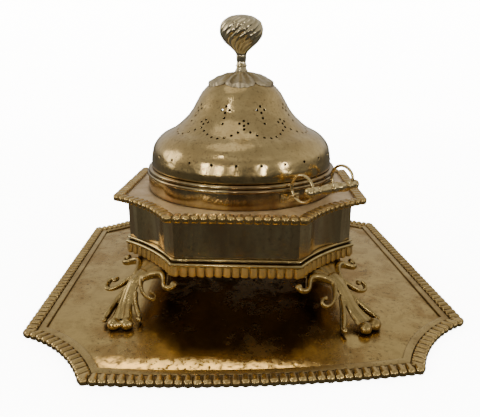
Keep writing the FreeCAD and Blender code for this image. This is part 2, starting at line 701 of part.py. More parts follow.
def make_lid():
    rest = LIP_TOP + REST_GAP
    outside = SLEEVE_INSIDE + SLEEVE_SHEET
    rim = spun([(SLEEVE_INSIDE, SLEEVE_BOTTOM), (outside, SLEEVE_BOTTOM), (outside, rest),
                (RIM_RADIUS - RIM_BULGE, rest), (RIM_RADIUS - RIM_BULGE, RIM_TOP, RIM_BULGE),
                (SLEEVE_INSIDE, RIM_TOP)])
    save("lid_rim", rim)
    curve = dome_curve()
    make_dome(curve)
    make_rosette(curve)
    foot = STEM_FOOT_Z
    stem = spun([(0, STUD_BOTTOM), (STUD_RADIUS, STUD_BOTTOM), (STUD_RADIUS, foot),
                 (STEM_FOOT_RADIUS, foot), (STEM_FOOT_RADIUS, foot + 1.6), (7.0, foot + 6.0),
                 (8.2, foot + 7.0), (8.2, foot + 8.6), (7.0, foot + 9.6), (6.6, foot + 12.0),
                 (STEM_RADIUS, KNOB_Z - 6.5), (STEM_RADIUS, KNOB_Z), (TENON_RADIUS, KNOB_Z),
                 (TENON_RADIUS, KNOB_Z + TENON_HEIGHT), (0, KNOB_Z + TENON_HEIGHT)])
    save("finial_stem", stem)
    make_knob()
    seat = CROWN_Z - DOME_SHEET
    bore = STUD_RADIUS + PIN_GAP
    washer = spun([(bore, seat - WASHER_HEIGHT), (9.0, seat - WASHER_HEIGHT), (9.0, seat),
                   (bore, seat)])
    save("finial_washer", washer)
    low = seat - WASHER_HEIGHT - NUT_HEIGHT
    flats = [Vector(NUT_RADIUS * cos(pi * i / 3), NUT_RADIUS * sin(pi * i / 3), low)
             for i in range(7)]
    nut = Part.Face(Part.makePolygon(flats)).extrude(Vector(0, 0, NUT_HEIGHT))
    save("finial_nut", nut.cut(Part.makeCylinder(bore, 12, Vector(0, 0, low - 1))))


def make_rosette(curve):
    """Six cast leaves in one thick cap that hugs the crown, with turned-up tips."""
    bore = STUD_RADIUS + PIN_GAP
    cap = spun([(bore, 285.0), (50.5, 285.0), (50.5, 292.4), (47.5, 295.6), (43, 299.4), (36, 303.4),
                (27, 306.8), (18, 308.8), (12, 309.6), (9.6, STEM_FOOT_Z), (bore, STEM_FOOT_Z)])
    cuts = [turned(Part.makeCylinder(8.5, 40, Vector(53.5, 0, 280)), 60 * i) for i in range(6)]
    cap = cap.cut(Part.makeCompound(cuts)).cut(dome_solid(curve, 0.0))
    tips = [turned(Part.makeCylinder(2.4, 13, Vector(48.0, -6.5, 296.4), Vector(0, 1, 0)), 60 * i + 30)
            for i in range(6)]
    save("rosette", biggest(biggest(cap).multiFuse(tips)))


# Knob outside as (radius, height over its base): hollow neck, swelling body, rounded crown
KNOB = [(STEM_RADIUS, 0.0), (8.0, 2.4), (10.6, 6.0), (18.6, 13.0), (26.4, 20.5), (30.4, 28.6),
        (30.8, 35.0), (27.4, 44.4), (16.8, 51.4)]


def make_knob():
    height = TOP_Z - KNOB_Z
    curve = Part.BSplineCurve()
    outside = [Vector(r, 0, KNOB_Z + z) for r, z in KNOB + [(0.0, height)]]
    curve.interpolate(outside, InitialTangent=Vector(0.3, 0, 1), FinalTangent=Vector(-1, 0, 0))
    bore = TENON_RADIUS + PIN_GAP
    deep = KNOB_Z + TENON_HEIGHT + PIN_GAP
    corners = [outside[-1], Vector(0, 0, deep), Vector(bore, 0, deep), Vector(bore, 0, KNOB_Z),
               outside[0]]
    edges = [curve.toShape()]
    edges += [Part.LineSegment(a, b).toShape() for a, b in zip(corners, corners[1:])]
    knob = Part.Face(Part.Wire(edges)).revolve(Vector(0, 0, 0), Vector(0, 0, 1), 360)
    save("finial_knob", knob)


make_tray()
make_walls()
make_base()
make_plate()
make_legs()
make_bowl()
make_handle()
make_lid()
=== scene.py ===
"""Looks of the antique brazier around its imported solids. Metres; helpers take millimetres."""
import math
import random

import bpy
from mathutils import Matrix, Quaternion, Vector, noise


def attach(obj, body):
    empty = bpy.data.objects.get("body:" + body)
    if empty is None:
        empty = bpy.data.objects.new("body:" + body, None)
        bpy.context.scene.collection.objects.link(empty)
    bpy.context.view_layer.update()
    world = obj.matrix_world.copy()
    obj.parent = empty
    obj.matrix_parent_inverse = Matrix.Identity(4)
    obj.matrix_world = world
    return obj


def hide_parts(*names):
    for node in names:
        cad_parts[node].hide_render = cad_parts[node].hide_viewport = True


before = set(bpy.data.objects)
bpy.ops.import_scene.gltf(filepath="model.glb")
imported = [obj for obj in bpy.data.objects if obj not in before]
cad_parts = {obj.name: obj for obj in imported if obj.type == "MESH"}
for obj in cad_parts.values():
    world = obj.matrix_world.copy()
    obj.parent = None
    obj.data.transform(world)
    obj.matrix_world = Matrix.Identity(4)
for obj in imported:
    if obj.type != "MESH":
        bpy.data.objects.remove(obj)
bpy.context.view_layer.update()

MM = 0.001
SIDES = ("front", "right", "back", "left")
CORNERS = ("front_right", "back_right", "back_left", "front_left")

# Outlines as half width, half straight side and depth of the hollow corner
TRAY = (280.0, 186.0, 13.0)
PLATE = (175.0, 87.0, 10.0)
BASE = (162.0, 83.4, 7.0)
TRAY_TURN = 5.35
TRAY_BOW = 11.0
HANDLE_AZIMUTH = 45.0


# Mesh helpers

def make(name, verts, faces, body, material, replaces=(), sharp=40.0, turn=0.0):
    """Mesh piece from millimetre points, riding on a body."""
    mesh = bpy.data.meshes.new(name)
    mesh.from_pydata([(x * MM, y * MM, z * MM) for x, y, z in verts], [], faces)
    mesh.validate()
    mesh.polygons.foreach_set("use_smooth", [True] * len(mesh.polygons))
    mesh.set_sharp_from_angle(angle=math.radians(sharp))
    mesh.materials.append(material)
    piece = bpy.data.objects.new(name, mesh)
    bpy.context.scene.collection.objects.link(piece)
    piece.rotation_euler = (0, 0, math.radians(turn))
    return settle(piece, body, replaces)


def settle(piece, body, replaces=()):
    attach(piece, body)
    if replaces:
        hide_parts(*replaces)
    return piece


def turned(points, angle):
    """Points turned about the vertical axis by an angle in degrees."""
    c, s = math.cos(math.radians(angle)), math.sin(math.radians(angle))
    return [(x * c - y * s, x * s + y * c, z) for x, y, z in points]


def curve_through(points, steps):
    """Catmull-Rom run through points of any size, with a number of steps between each two."""
    count = len(points)
    out = []
    for i in range(count - 1):
        p0 = points[max(i - 1, 0)]
        p1 = points[i]
        p2 = points[i + 1]
        p3 = points[min(i + 2, count - 1)]
        for k in range(steps):
            t = k / steps
            out.append(tuple(
                0.5 * (2 * b + (c - a) * t + (2 * a - 5 * b + 4 * c - d) * t * t
                       + (3 * b - a - 3 * c + d) * t ** 3)
                for a, b, c, d in zip(p0, p1, p2, p3)))
    out.append(tuple(points[-1]))
    return out


def grid_faces(rows, columns, wrap=True, start=0):
    faces = []
    last = columns if wrap else columns - 1
    for i in range(rows - 1):
        for j in range(last):
            k = (j + 1) % columns
            a = start + i * columns
            b = a + columns
            faces.append((a + j, a + k, b + k, b + j))
    return faces


def lathe_mesh(profile, segments=192, closed=True, wobble=None):
    """Vertices and faces of an (r, z) outline spun about Z; points on the axis become poles."""
    verts, faces, rows = [], [], []
    for r, z in profile:
        if r < 1e-6:
            rows.append([len(verts)])
            verts.append((0.0, 0.0, z))
            continue
        row = []
        for j in range(segments):
            angle = 2 * math.pi * j / segments
            radius = r + (wobble(angle, z) if wobble else 0.0)
            row.append(len(verts))
            verts.append((radius * math.cos(angle), radius * math.sin(angle), z))
        rows.append(row)
    pairs = list(zip(rows, rows[1:]))
    if closed and len(rows[0]) > 1 and len(rows[-1]) > 1:
        pairs.append((rows[-1], rows[0]))
    for a, b in pairs:
        if len(a) == 1 and len(b) == 1:
            continue
        for j in range(segments):
            k = (j + 1) % segments
            if len(a) == 1:
                faces.append((a[0], b[k], b[j]))
            elif len(b) == 1:
                faces.append((a[j], a[k], b[0]))
            else:
                faces.append((a[j], a[k], b[k], b[j]))
    return verts, faces


def merge(parts):
    verts, faces = [], []
    for more_verts, more_faces in parts:
        base = len(verts)
        verts.extend(more_verts)
        faces.extend([tuple(base + i for i in face) for face in more_faces])
    return verts, faces


# Hollow-cornered outlines

class Outline:
    """Square with hollow corners, front side first; the side may bow outwards."""

    def __init__(self, half, straight, sagitta, bow=0.0):
        self.bow = bow
        chord = (half - straight) / math.sqrt(2)
        self.half = half
        self.radius = (chord ** 2 + sagitta ** 2) / (2 * sagitta)
        self.centre = (half + straight) / 2 + (self.radius - sagitta) / math.sqrt(2)

    def corner(self, inset):
        radius = self.radius + inset
        return self.centre - math.sqrt(radius ** 2 - (self.centre - self.half + inset) ** 2)

    def side(self, t, inset):
        """Point on the front side, t from 0 to 1, and the outward direction."""
        c = self.corner(inset)
        out = self.bow * (1 - (2 * t - 1) ** 2)
        return (-c + 2 * c * t, -self.half + inset - out), (0.0, -1.0)

    def arc(self, t, inset):
        """Point on the front right corner's arc and the outward direction."""
        half = self.half - inset
        c = self.corner(inset)
        first = math.atan2(self.centre - half, c - self.centre)
        last = math.atan2(self.centre - c, half - self.centre)
        angle = first + (last - first) * t
        radius = self.radius + inset
        x, y = math.cos(angle), math.sin(angle)
        return (self.centre + radius * x, -self.centre + radius * y), (-x, -y)

    def run(self, kind, t, inset):
        return self.side(t, inset) if kind == "side" else self.arc(t, inset)


def sweep(outline, kind, profile, steps):
    """Closed (inset, z) profile carried along one side or corner, with end caps."""
    verts = []
    count = len(profile)
    for i in range(steps + 1):
        for inset, z in profile:
            (x, y), _ = outline.run(kind, i / steps, inset)
            verts.append((x, y, z))
    faces = grid_faces(steps + 1, count)
    faces.append(tuple(range(count - 1, -1, -1)))
    faces.append(tuple(steps * count + j for j in range(count)))
    return verts, faces


def sweep_ring(outline, profile, side_steps, arc_steps):
    """Closed (inset, z) profile carried once round the whole outline."""
    verts = []
    count = len(profile)
    rows = 0
    for turn in range(4):
        for kind, steps in (("side", side_steps), ("arc", arc_steps)):
            for i in range(steps):
                row = []
                for inset, z in profile:
                    (x, y), _ = outline.run(kind, i / steps, inset)
                    row.append((x, y, z))
                verts.extend(turned(row, 90 * turn))
                rows += 1
    faces = []
    for i in range(rows):
        a, b = i * count, ((i + 1) % rows) * count
        for j in range(count):
            k = (j + 1) % count
            faces.append((a + j, a + k, b + k, b + j))
    return verts, faces


# Materials

class Shader:
    """Short-hand for building a node material."""

    def __init__(self, name):
        self.material = bpy.data.materials.new(name)
        self.material.use_nodes = True
        self.tree = self.material.node_tree
        self.tree.nodes.clear()
        out = self.node("ShaderNodeOutputMaterial")
        self.surface = self.node("ShaderNodeBsdfPrincipled")
        self.tree.links.new(self.surface.outputs[0], out.inputs[0])
        self.place = self.node("ShaderNodeTexCoord").outputs["Object"]

    def node(self, kind, **settings):
        made = self.tree.nodes.new(kind)
        for key, value in settings.items():
            setattr(made, key, value)
        return made

    def put(self, socket, value):
        if isinstance(value, bpy.types.NodeSocket):
            self.tree.links.new(value, socket)
        elif isinstance(value, (tuple, list)) and len(value) == 3 and socket.type == "RGBA":
            socket.default_value = (*value, 1.0)
        else:
            socket.default_value = value

    def noise(self, scale, detail=4.0, rough=0.5, distortion=0.0, place=None):
        made = self.node("ShaderNodeTexNoise")
        self.put(made.inputs["Vector"], place or self.place)
        self.put(made.inputs["Scale"], scale)
        self.put(made.inputs["Detail"], detail)
        self.put(made.inputs["Roughness"], rough)
        self.put(made.inputs["Distortion"], distortion)
        return made.outputs[0]

    def stretch(self, scale):
        made = self.node("ShaderNodeMapping")
        self.put(made.inputs["Vector"], self.place)
        made.inputs["Scale"].default_value = scale
        return made.outputs[0]

    def ramp(self, value, low, high, to_low=0.0, to_high=1.0):
        made = self.node("ShaderNodeMapRange", clamp=True, interpolation_type="SMOOTHSTEP")
        self.put(made.inputs["Value"], value)
        for socket, number in (("From Min", low), ("From Max", high), ("To Min", to_low),
                               ("To Max", to_high)):
            self.put(made.inputs[socket], number)
        return made.outputs[0]

    def math(self, operation, a, b=0.0):
        made = self.node("ShaderNodeMath", operation=operation)
        self.put(made.inputs[0], a)
        self.put(made.inputs[1], b)
        return made.outputs[0]

    def mix(self, factor, a, b):
        made = self.node("ShaderNodeMix", data_type="RGBA")
        self.put(made.inputs[0], factor)
        self.put(made.inputs[6], a)
        self.put(made.inputs[7], b)
        return made.outputs[2]

    def bump(self, height, strength, distance, normal=None):
        made = self.node("ShaderNodeBump")
        self.put(made.inputs["Height"], height)
        self.put(made.inputs["Strength"], strength)
        self.put(made.inputs["Distance"], distance)
        if normal is not None:
            self.put(made.inputs["Normal"], normal)
        return made.outputs[0]

    def cavity(self, distance):
        made = self.node("ShaderNodeAmbientOcclusion", samples=6)
        self.put(made.inputs["Distance"], distance)
        return made.outputs["AO"]


def aged_brass(name, bright, stain, grime_and_shade, rough, stains=0.5, cavity=4.0, dents=0.25, grain=0.15,
               scale=1.0, dent_scale=26.0, streaks=0.0, painted_front_reflection=False, metal=1.0):
    """Old brass: tone variation, stains, dirt and painted shade in the hollows, fine scratches and hammer
    dents.

    rough is (clean, stained); cavity is the reach in millimetres of the ambient-occlusion darkening,
    painted shade in the hollows that also stands for dirt; streaks darkens upright runs of tarnish;
    painted_front_reflection paints a golden strip along the tray's front as a painted reflection;
    metal is below 1 where the skin is dull with tarnish.
    """
    s = Shader(name)
    broad = s.noise(9.0 * scale, 5.0, 0.6, 0.4)
    patches = s.noise(34.0 * scale, 8.0, 0.65, 0.8)
    specks = s.noise(240.0 * scale, 4.0, 0.75)
    fine = s.noise(900.0, 3.0, 0.6)
    stain_mask = s.math("MULTIPLY", s.ramp(s.math("ADD", broad, s.math("MULTIPLY", patches, 0.8)),
                                           0.78, 1.12), stains)
    tone = s.mix(s.ramp(patches, 0.3, 0.7), bright, tuple(c * 0.80 for c in bright))
    tone = s.mix(stain_mask, tone, stain)
    if streaks:
        runs = s.noise(26.0, 5.0, 0.6, 0.6, s.stretch((1.0, 1.0, 0.16)))
        runs = s.ramp(runs, 0.36, 0.62, 0.0, streaks)
        tone = s.mix(runs, tone, tuple(c * k for c, k in zip(stain, (0.62, 0.50, 0.45))))
    spots = s.ramp(specks, 0.54, 0.65, 0.0, stains * 0.9)
    tone = s.mix(s.math("MULTIPLY", spots, s.ramp(broad, 0.36, 0.58)), tone, grime_and_shade)
    # Ambient-occlusion darkening of the hollows and the gaps between parts: painted shade, standing also
    # for dirt there.
    hollow = s.ramp(s.cavity(cavity * MM), 0.34, 0.94, 1.0, 0.0)
    tone = s.mix(s.math("MULTIPLY", hollow, 0.88), tone, grime_and_shade)
    worn = s.math("ADD", s.ramp(patches, 0.25, 0.75, 0.0, 0.08), s.math("MULTIPLY", hollow, 0.2))
    spread = s.ramp(stain_mask, 0.0, 1.0, rough[0], rough[1])
    gloss = s.math("ADD", spread, worn)
    # Painted reflection: a ragged golden strip along the tray's front is painted into the colour, with
    # less metal and more roughness there.
    if painted_front_reflection:
        split = s.node("ShaderNodeSeparateXYZ")
        s.put(split.inputs[0], s.place)
        ragged = s.math("MULTIPLY", s.noise(70.0, 6.0, 0.7), 0.030)
        along = s.math("ABSOLUTE", s.math("ADD", split.outputs[0], 0.030))
        reflection_strip = s.ramp(s.math("ADD", split.outputs[1], ragged), -0.246, -0.228, 1.0, 0.0)
        reflection_strip = s.math("MULTIPLY", reflection_strip, s.ramp(along, 0.09, 0.16, 1.0, 0.0))
        reflection_strip = s.math("MULTIPLY", reflection_strip, s.ramp(s.noise(150.0, 4.0, 0.7), 0.36, 0.54))
        tone = s.mix(reflection_strip, tone, (0.95, 0.56, 0.13))
        gloss = s.math("ADD", gloss, s.math("MULTIPLY", reflection_strip, 0.35))
        metal = s.math("SUBTRACT", 1.0, s.math("MULTIPLY", reflection_strip, 0.45))
    s.put(s.surface.inputs["Base Color"], tone)
    s.put(s.surface.inputs["Metallic"], metal)
    s.put(s.surface.inputs["Roughness"], gloss)
    scratches = s.noise(420.0, 2.0, 0.5, 0.0, s.stretch((1.0, 0.05, 1.0)))
    crossed = s.noise(420.0, 2.0, 0.5, 0.0, s.stretch((0.05, 1.0, 1.0)))
    lines = s.math("ADD", scratches, crossed)
    normal = s.bump(s.noise(dent_scale, 2.0, 0.5, 0.3), dents, 2.0 * MM)
    normal = s.bump(s.noise(dent_scale * 4.0, 2.0, 0.5, 0.5), dents * 0.5, 0.6 * MM, normal)
    normal = s.bump(s.math("ADD", lines, s.math("MULTIPLY", fine, 0.6)), grain, 0.1 * MM, normal)
    s.put(s.surface.inputs["Normal"], normal)
    return s.material


# Dark brown for the specks of dirt and for the painted shade in the hollows.
GRIME_AND_SHADE = (0.050, 0.028, 0.012)
TRAY_BRASS = aged_brass("tray_brass", (0.58, 0.41, 0.150), (0.42, 0.255, 0.080), GRIME_AND_SHADE,
                        (0.15, 0.34), 0.85, 3.0, 0.24, 0.45, 1.0, 16.0, 0.0, True)
BAND_BRASS = aged_brass("band_brass", (0.58, 0.415, 0.165), (0.38, 0.24, 0.085), GRIME_AND_SHADE,
                        (0.22, 0.38), 0.6, 4.0, 0.08, 0.35)
LOBE_BRASS = aged_brass("lobe_brass", (0.68, 0.48, 0.185), (0.44, 0.28, 0.10), GRIME_AND_SHADE,
                        (0.20, 0.34), 0.6, 3.6, 0.10, 0.30, 1.4)
PLATE_LOBE_BRASS = aged_brass("plate_lobe_brass", (0.66, 0.455, 0.17), (0.46, 0.285, 0.09), GRIME_AND_SHADE,
                              (0.20, 0.34), 0.5, 3.0, 0.08, 0.30, 1.4)
# Painted light: the ribs get a brighter copy of the lobe brass, making up for the dark tray they reflect.
RIB_BRASS = aged_brass("rib_brass", (0.86, 0.60, 0.22), (0.60, 0.375, 0.11), GRIME_AND_SHADE,
                       (0.34, 0.46), 0.5, 3.0, 0.08, 0.30, 1.4)
# Painted light: the walls' brass is made lighter than the rest, making up for the dark room in front that
# they reflect.
WALL_BRASS = aged_brass("wall_brass", (0.82, 0.66, 0.34), (0.66, 0.47, 0.22), GRIME_AND_SHADE,
                        (0.12, 0.26), 0.35, 4.0, 0.34, 0.15, 1.0, 14.0, 0.6)
PLATE_BRASS = aged_brass("plate_brass", (0.35, 0.240, 0.115), (0.24, 0.160, 0.075), GRIME_AND_SHADE,
                         (0.36, 0.5), 0.6, 5.0, 0.05, 0.30, metal=0.8)
MOULD_BRASS = aged_brass("moulding_brass", (0.72, 0.56, 0.25), (0.42, 0.30, 0.12), GRIME_AND_SHADE,
                         (0.10, 0.20), 0.4, 5.5, 0.06, 0.2)
LEG_BRASS = aged_brass("leg_brass", (0.52, 0.375, 0.145), (0.36, 0.235, 0.08), GRIME_AND_SHADE,
                       (0.22, 0.36), 0.55, 6.0, 0.10, 0.25, 1.5)
BOWL_BRASS = aged_brass("bowl_brass", (0.58, 0.46, 0.24), (0.42, 0.31, 0.15), GRIME_AND_SHADE,
                        (0.13, 0.26), 0.5, 2.4, 0.25, 0.15, 1.0, 20.0, 0.8)
DOME_BRASS = aged_brass("dome_brass", (0.67, 0.495, 0.22), (0.49, 0.33, 0.13), GRIME_AND_SHADE,
                        (0.13, 0.22), 0.5, 2.2, 0.95, 0.14, 1.0, 20.0)
CAST_BRASS = aged_brass("cast_brass", (0.66, 0.55, 0.35), (0.36, 0.28, 0.16), GRIME_AND_SHADE,
                        (0.34, 0.5), 0.6, 6.0, 0.15, 0.5, 1.6)
KNOB_BRASS = aged_brass("knob_brass", (0.74, 0.63, 0.39), (0.54, 0.43, 0.23), GRIME_AND_SHADE,
                        (0.12, 0.24), 0.35, 3.4, 0.05, 0.15, 1.5)
HANDLE_BRASS = aged_brass("handle_brass", (0.80, 0.62, 0.30), (0.52, 0.37, 0.15), GRIME_AND_SHADE,
                          (0.18, 0.32), 0.4, 3.0, 0.05, 0.25, 1.5)
SCREW_BRASS = aged_brass("screw_brass", (0.44, 0.32, 0.14), (0.30, 0.20, 0.08), GRIME_AND_SHADE,
                         (0.28, 0.42), 0.5, 2.0, 0.05, 0.3, 2.0)
PAN_BRASS = aged_brass("pan_brass", (0.20, 0.14, 0.07), (0.07, 0.05, 0.035), (0.015, 0.012, 0.01),
                       (0.42, 0.65), 0.85, 8.0, 0.15, 0.5)


def plain_floor():
    s = Shader("studio_floor")
    s.put(s.surface.inputs["Base Color"], s.mix(s.noise(3.0, 2.0), (0.80, 0.79, 0.77),
                                                (0.82, 0.81, 0.79)))
    s.put(s.surface.inputs["Roughness"], 0.8)
    s.put(s.surface.inputs["Emission Color"], (1.0, 0.995, 0.985))
    s.put(s.surface.inputs["Emission Strength"], 7.0)
    return s.material


# Camera, light and floor

def add_camera():
    data = bpy.data.cameras.new("camera")
    data.sensor_width = 36.0
    data.lens = 34.43
    data.clip_start = 0.01
    camera = bpy.data.objects.new("camera", data)
    bpy.context.scene.collection.objects.link(camera)
    pitch, yaw, roll = math.radians(17.958), math.radians(-2.375), math.radians(0.109)
    ahead = Vector((math.sin(yaw) * math.cos(pitch), math.cos(yaw) * math.cos(pitch),
                    -math.sin(pitch)))
    camera.location = (0.0270, -0.6887, 0.3261)
    camera.rotation_mode = "QUATERNION"
    camera.rotation_quaternion = ahead.to_track_quat("-Z", "Y") @ Quaternion((0, 0, 1), roll)
    bpy.context.scene.camera = camera


def area_light(name, place, target, size, power, colour=(1.0, 0.96, 0.9)):
    data = bpy.data.lights.new(name, "AREA")
    data.shape = "ELLIPSE"
    data.size, data.size_y = size
    data.energy = power
    data.color = colour
    light = bpy.data.objects.new(name, data)
    bpy.context.scene.collection.objects.link(light)
    light.location = place
    light.rotation_mode = "QUATERNION"
    light.rotation_quaternion = (Vector(target) - Vector(place)).to_track_quat("-Z", "Y")


def add_world():
    """Soft room: bright above and behind the object, dim in front of it at eye height."""
    world = bpy.data.worlds.new("studio")
    bpy.context.scene.world = world
    world.use_nodes = True
    tree = world.node_tree
    tree.nodes.clear()
    out = tree.nodes.new("ShaderNodeOutputWorld")
    back = tree.nodes.new("ShaderNodeBackground")
    place = tree.nodes.new("ShaderNodeTexCoord")
    split = tree.nodes.new("ShaderNodeSeparateXYZ")
    tree.links.new(place.outputs["Generated"], split.inputs[0])

    def ramp(socket, low, high, to_low, to_high):
        made = tree.nodes.new("ShaderNodeMapRange")
        made.interpolation_type = "SMOOTHSTEP"
        tree.links.new(split.outputs[socket], made.inputs["Value"])
        for name, value in (("From Min", low), ("From Max", high), ("To Min", to_low),
                            ("To Max", to_high)):
            made.inputs[name].default_value = value
        return made.outputs[0]

    def combine(operation, a, b):
        made = tree.nodes.new("ShaderNodeMath")
        made.operation = operation
        tree.links.new(a, made.inputs[0])
        tree.links.new(b, made.inputs[1])
        return made.outputs[0]

    up = ramp("Z", -0.10, 0.20, 0.12, 0.66)
    dim_above = ramp("Z", 0.45, 0.95, 1.0, 0.62)
    in_front = ramp("Y", -0.80, 0.10, 0.55, 1.0)
    lifted = ramp("Z", 0.25, 0.75, 0.0, 1.0)
    shade = combine("MAXIMUM", in_front, lifted)
    strength = combine("MULTIPLY", combine("MULTIPLY", up, dim_above), shade)
    tree.links.new(strength, back.inputs["Strength"])
    back.inputs["Color"].default_value = (1.0, 0.975, 0.93, 1.0)
    tree.links.new(back.outputs[0], out.inputs[0])


def add_stage():
    """Pale round floor that curves up far away all round, so no view sees its end."""
    flat, bend, high = 2300.0, 900.0, 3200.0
    profile = [(0.0, 0.0), (flat * 0.3, 0.0), (flat, 0.0)]
    for i in range(1, 13):
        angle = math.pi / 2 * i / 12
        profile.append((flat + bend * math.sin(angle), bend - bend * math.cos(angle)))
    profile.append((flat + bend, high))
    verts, faces = lathe_mesh(profile, 96, closed=False)
    mesh = bpy.data.meshes.new("studio_floor")
    mesh.from_pydata([(x * MM, y * MM, z * MM - 0.0002) for x, y, z in verts], [], faces)
    mesh.polygons.foreach_set("use_smooth", [True] * len(mesh.polygons))
    mesh.materials.append(plain_floor())
    floor = bpy.data.objects.new("studio_floor", mesh)
    bpy.context.scene.collection.objects.link(floor)
    floor.visible_glossy = False


add_camera()
add_world()
add_stage()
area_light("overhead", (-0.3, 0.2, 2.2), (0, 0, 0.1), (1.6, 1.2), 2.5)
area_light("left_window", (-1.40, -1.6, 0.50), (0, 0, 0.2), (0.16, 0.56), 4.2)
area_light("left_pane", (-0.98, -1.95, 0.40), (0, 0, 0.2), (0.13, 0.34), 3.0)
area_light("middle_window", (-0.20, -2.3, 0.46), (0, 0, 0.2), (0.07, 0.46), 1.6)
area_light("right_pane", (1.00, -1.9, 0.42), (0, 0, 0.2), (0.12, 0.50), 3.0)
area_light("right_window", (1.90, -1.3, 0.52), (0, 0, 0.2), (0.22, 0.50), 4.6)
area_light("side_window", (-2.2, 0.2, 0.8), (0, 0, 0.2), (1.2, 1.2), 9.0)
area_light("high_lamp", (-0.7, -1.1, 1.7), (0, 0, 0.1), (0.14, 0.14), 1.5)


# Solids that stay, with their materials

def dress(node, material):
    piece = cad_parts[node]
    piece.data.materials.clear()
    piece.data.materials.append(material)


dress("tray_plate", TRAY_BRASS)
dress("top_plate", PLATE_BRASS)
dress("fire_pan", PAN_BRASS)
dress("finial_washer", SCREW_BRASS)
dress("finial_nut", SCREW_BRASS)
dress("leg_screws", SCREW_BRASS)


# Lobed edges

def tear(start, direction, outline_points, squeeze, floor_z, square=2.0, segments=20):
    """Tear-shaped bead: (distance, radius) points along an axis; square over 2 flattens its faces."""
    forward = Vector(direction).normalized()
    up = Vector((0, 0, 1)) if abs(forward.z) < 0.9 else Vector((0, 0, 0))
    if up.length < 0.5:
        up = Vector((-start[0], -start[1], 0)).normalized()
    across = forward.cross(up).normalized()
    up = across.cross(forward).normalized()
    verts, rows = [], []
    base = Vector(start)
    for distance, radius in outline_points:
        centre = base + forward * distance
        if radius < 1e-6:
            rows.append([len(verts)])
            verts.append(tuple(centre))
            continue
        row = []
        for j in range(segments):
            angle = 2 * math.pi * j / segments
            c, d = math.cos(angle), math.sin(angle)
            c = math.copysign(abs(c) ** (2.0 / square), c)
            d = math.copysign(abs(d) ** (2.0 / square), d)
            p = centre + across * (radius * squeeze * c) + up * (radius * d)
            row.append(len(verts))
            verts.append((p.x, p.y, max(p.z, floor_z)))
        rows.append(row)
    faces = []
    for a, b in zip(rows, rows[1:]):
        for j in range(segments):
            k = (j + 1) % segments
            if len(a) == 1:
                faces.append((a[0], b[j], b[k]))
            elif len(b) == 1:
                faces.append((a[k], a[j], b[0]))
            else:
                faces.append((a[k], a[j], b[j], b[k]))
    return verts, faces


def lobe_places(outline, kind, count, slant):
    """Edge point and lobe direction of each lobe on one side or corner."""
    diagonal = Vector((1, -1)).normalized()
    places = []
    for i in range(count):
        (x, y), (nx, ny) = outline.run(kind, (i + 0.5) / count, 0.0)
        out = Vector((nx, ny))
        if kind == "arc":
            out = (out * (1 - slant) + diagonal * slant).normalized()
        places.append(((x, y), (out.x, out.y)))
    return places


TEAR = [(0.0, 0.0), (0.25, 0.50), (0.9, 0.70), (2.2, 0.78), (4.4, 0.83), (6.8, 0.88), (8.8, 0.93),
        (10.4, 0.96), (11.6, 0.995), (12.7, 0.96), (13.8, 0.84), (14.7, 0.62), (15.15, 0.36),
        (15.35, 0.0)]


TOMB = [(0.0, 0.0), (0.2, 0.55), (0.9, 0.80), (2.4, 0.86), (5.0, 0.88), (8.0, 0.92), (10.6, 0.97),
        (12.2, 0.99), (13.4, 0.93), (14.3, 0.78), (15.0, 0.52), (15.35, 0.0)]


def edge_row(name, shape, kind, count, slant, level, floor_z, web, size, line, square, material,
             slot_of, nodes, seed, turns):
    """Row of lobes with the thin web between them, once for each named node."""
    body, slot = slot_of
    outline = Outline(*shape)
    chance = random.Random(seed)
    reach = line[-1][0]
    for node, turn in zip(nodes, turns):
        parts = []
        for (x, y), (dx, dy) in lobe_places(outline, kind, count, slant):
            tall = size * chance.uniform(0.965, 1.03)
            wide = chance.uniform(0.97, 1.02)
            dive = chance.uniform(-0.015, 0.015)
            start = (x - dx * reach, y - dy * reach, level + chance.uniform(-0.12, 0.12))
            bead = [(d, r * tall) for d, r in line]
            parts.append(tear(start, (dx, dy, dive - 0.02), bead, wide, floor_z, square))
        profile = [(1.8, floor_z + 0.4), (2.0, web - 0.8), (3.4, web), (reach - 1.5, web),
                   (reach - 0.4, web - 0.8), (reach - 0.4, floor_z + 0.4)]
        parts.append(sweep(outline, kind, profile, 24))
        verts, faces = merge(parts)
        make(name + node, turned(verts, turn), faces, body, material, (node,), 50.0)


QUARTERS = (0, 90, 180, 270)
TRAY_TURNS = tuple(TRAY_TURN + q for q in QUARTERS)
TRAY_SLOT = ("tray", "lobed_edge")
STAND_SLOT = ("stand", "lobed_edge")
edge_row("lobes_", (*TRAY, TRAY_BOW), "side", 37, 0.0, 3.5, 0.0, 5.0, 5.15, TEAR, 2.6, LOBE_BRASS,
         TRAY_SLOT, ["tray_edge_front"], 11, TRAY_TURNS[:1])
edge_row("lobes_", TRAY, "side", 37, 0.0, 3.5, 0.0, 5.0, 5.15, TEAR, 2.6, LOBE_BRASS,
         TRAY_SLOT, ["tray_edge_" + s for s in SIDES[1:]], 18, TRAY_TURNS[1:])
edge_row("lobes_", TRAY, "arc", 14, 0.85, 3.5, 0.0, 5.0, 5.15, TEAR, 2.6, LOBE_BRASS,
         TRAY_SLOT, ["tray_corner_edge_" + c for c in CORNERS], 12, TRAY_TURNS)
edge_row("lobes_", PLATE, "side", 16, 0.0, 143.4, 139.0, 145.6, 5.2, TOMB, 4.0, PLATE_LOBE_BRASS,
         STAND_SLOT, ["plate_edge_" + s for s in SIDES], 13, QUARTERS)
edge_row("lobes_", PLATE, "arc", 13, 0.0, 143.4, 139.0, 146.4, 4.5, TOMB, 3.0, PLATE_LOBE_BRASS,
         STAND_SLOT, ["plate_corner_edge_" + c for c in CORNERS], 14, QUARTERS)


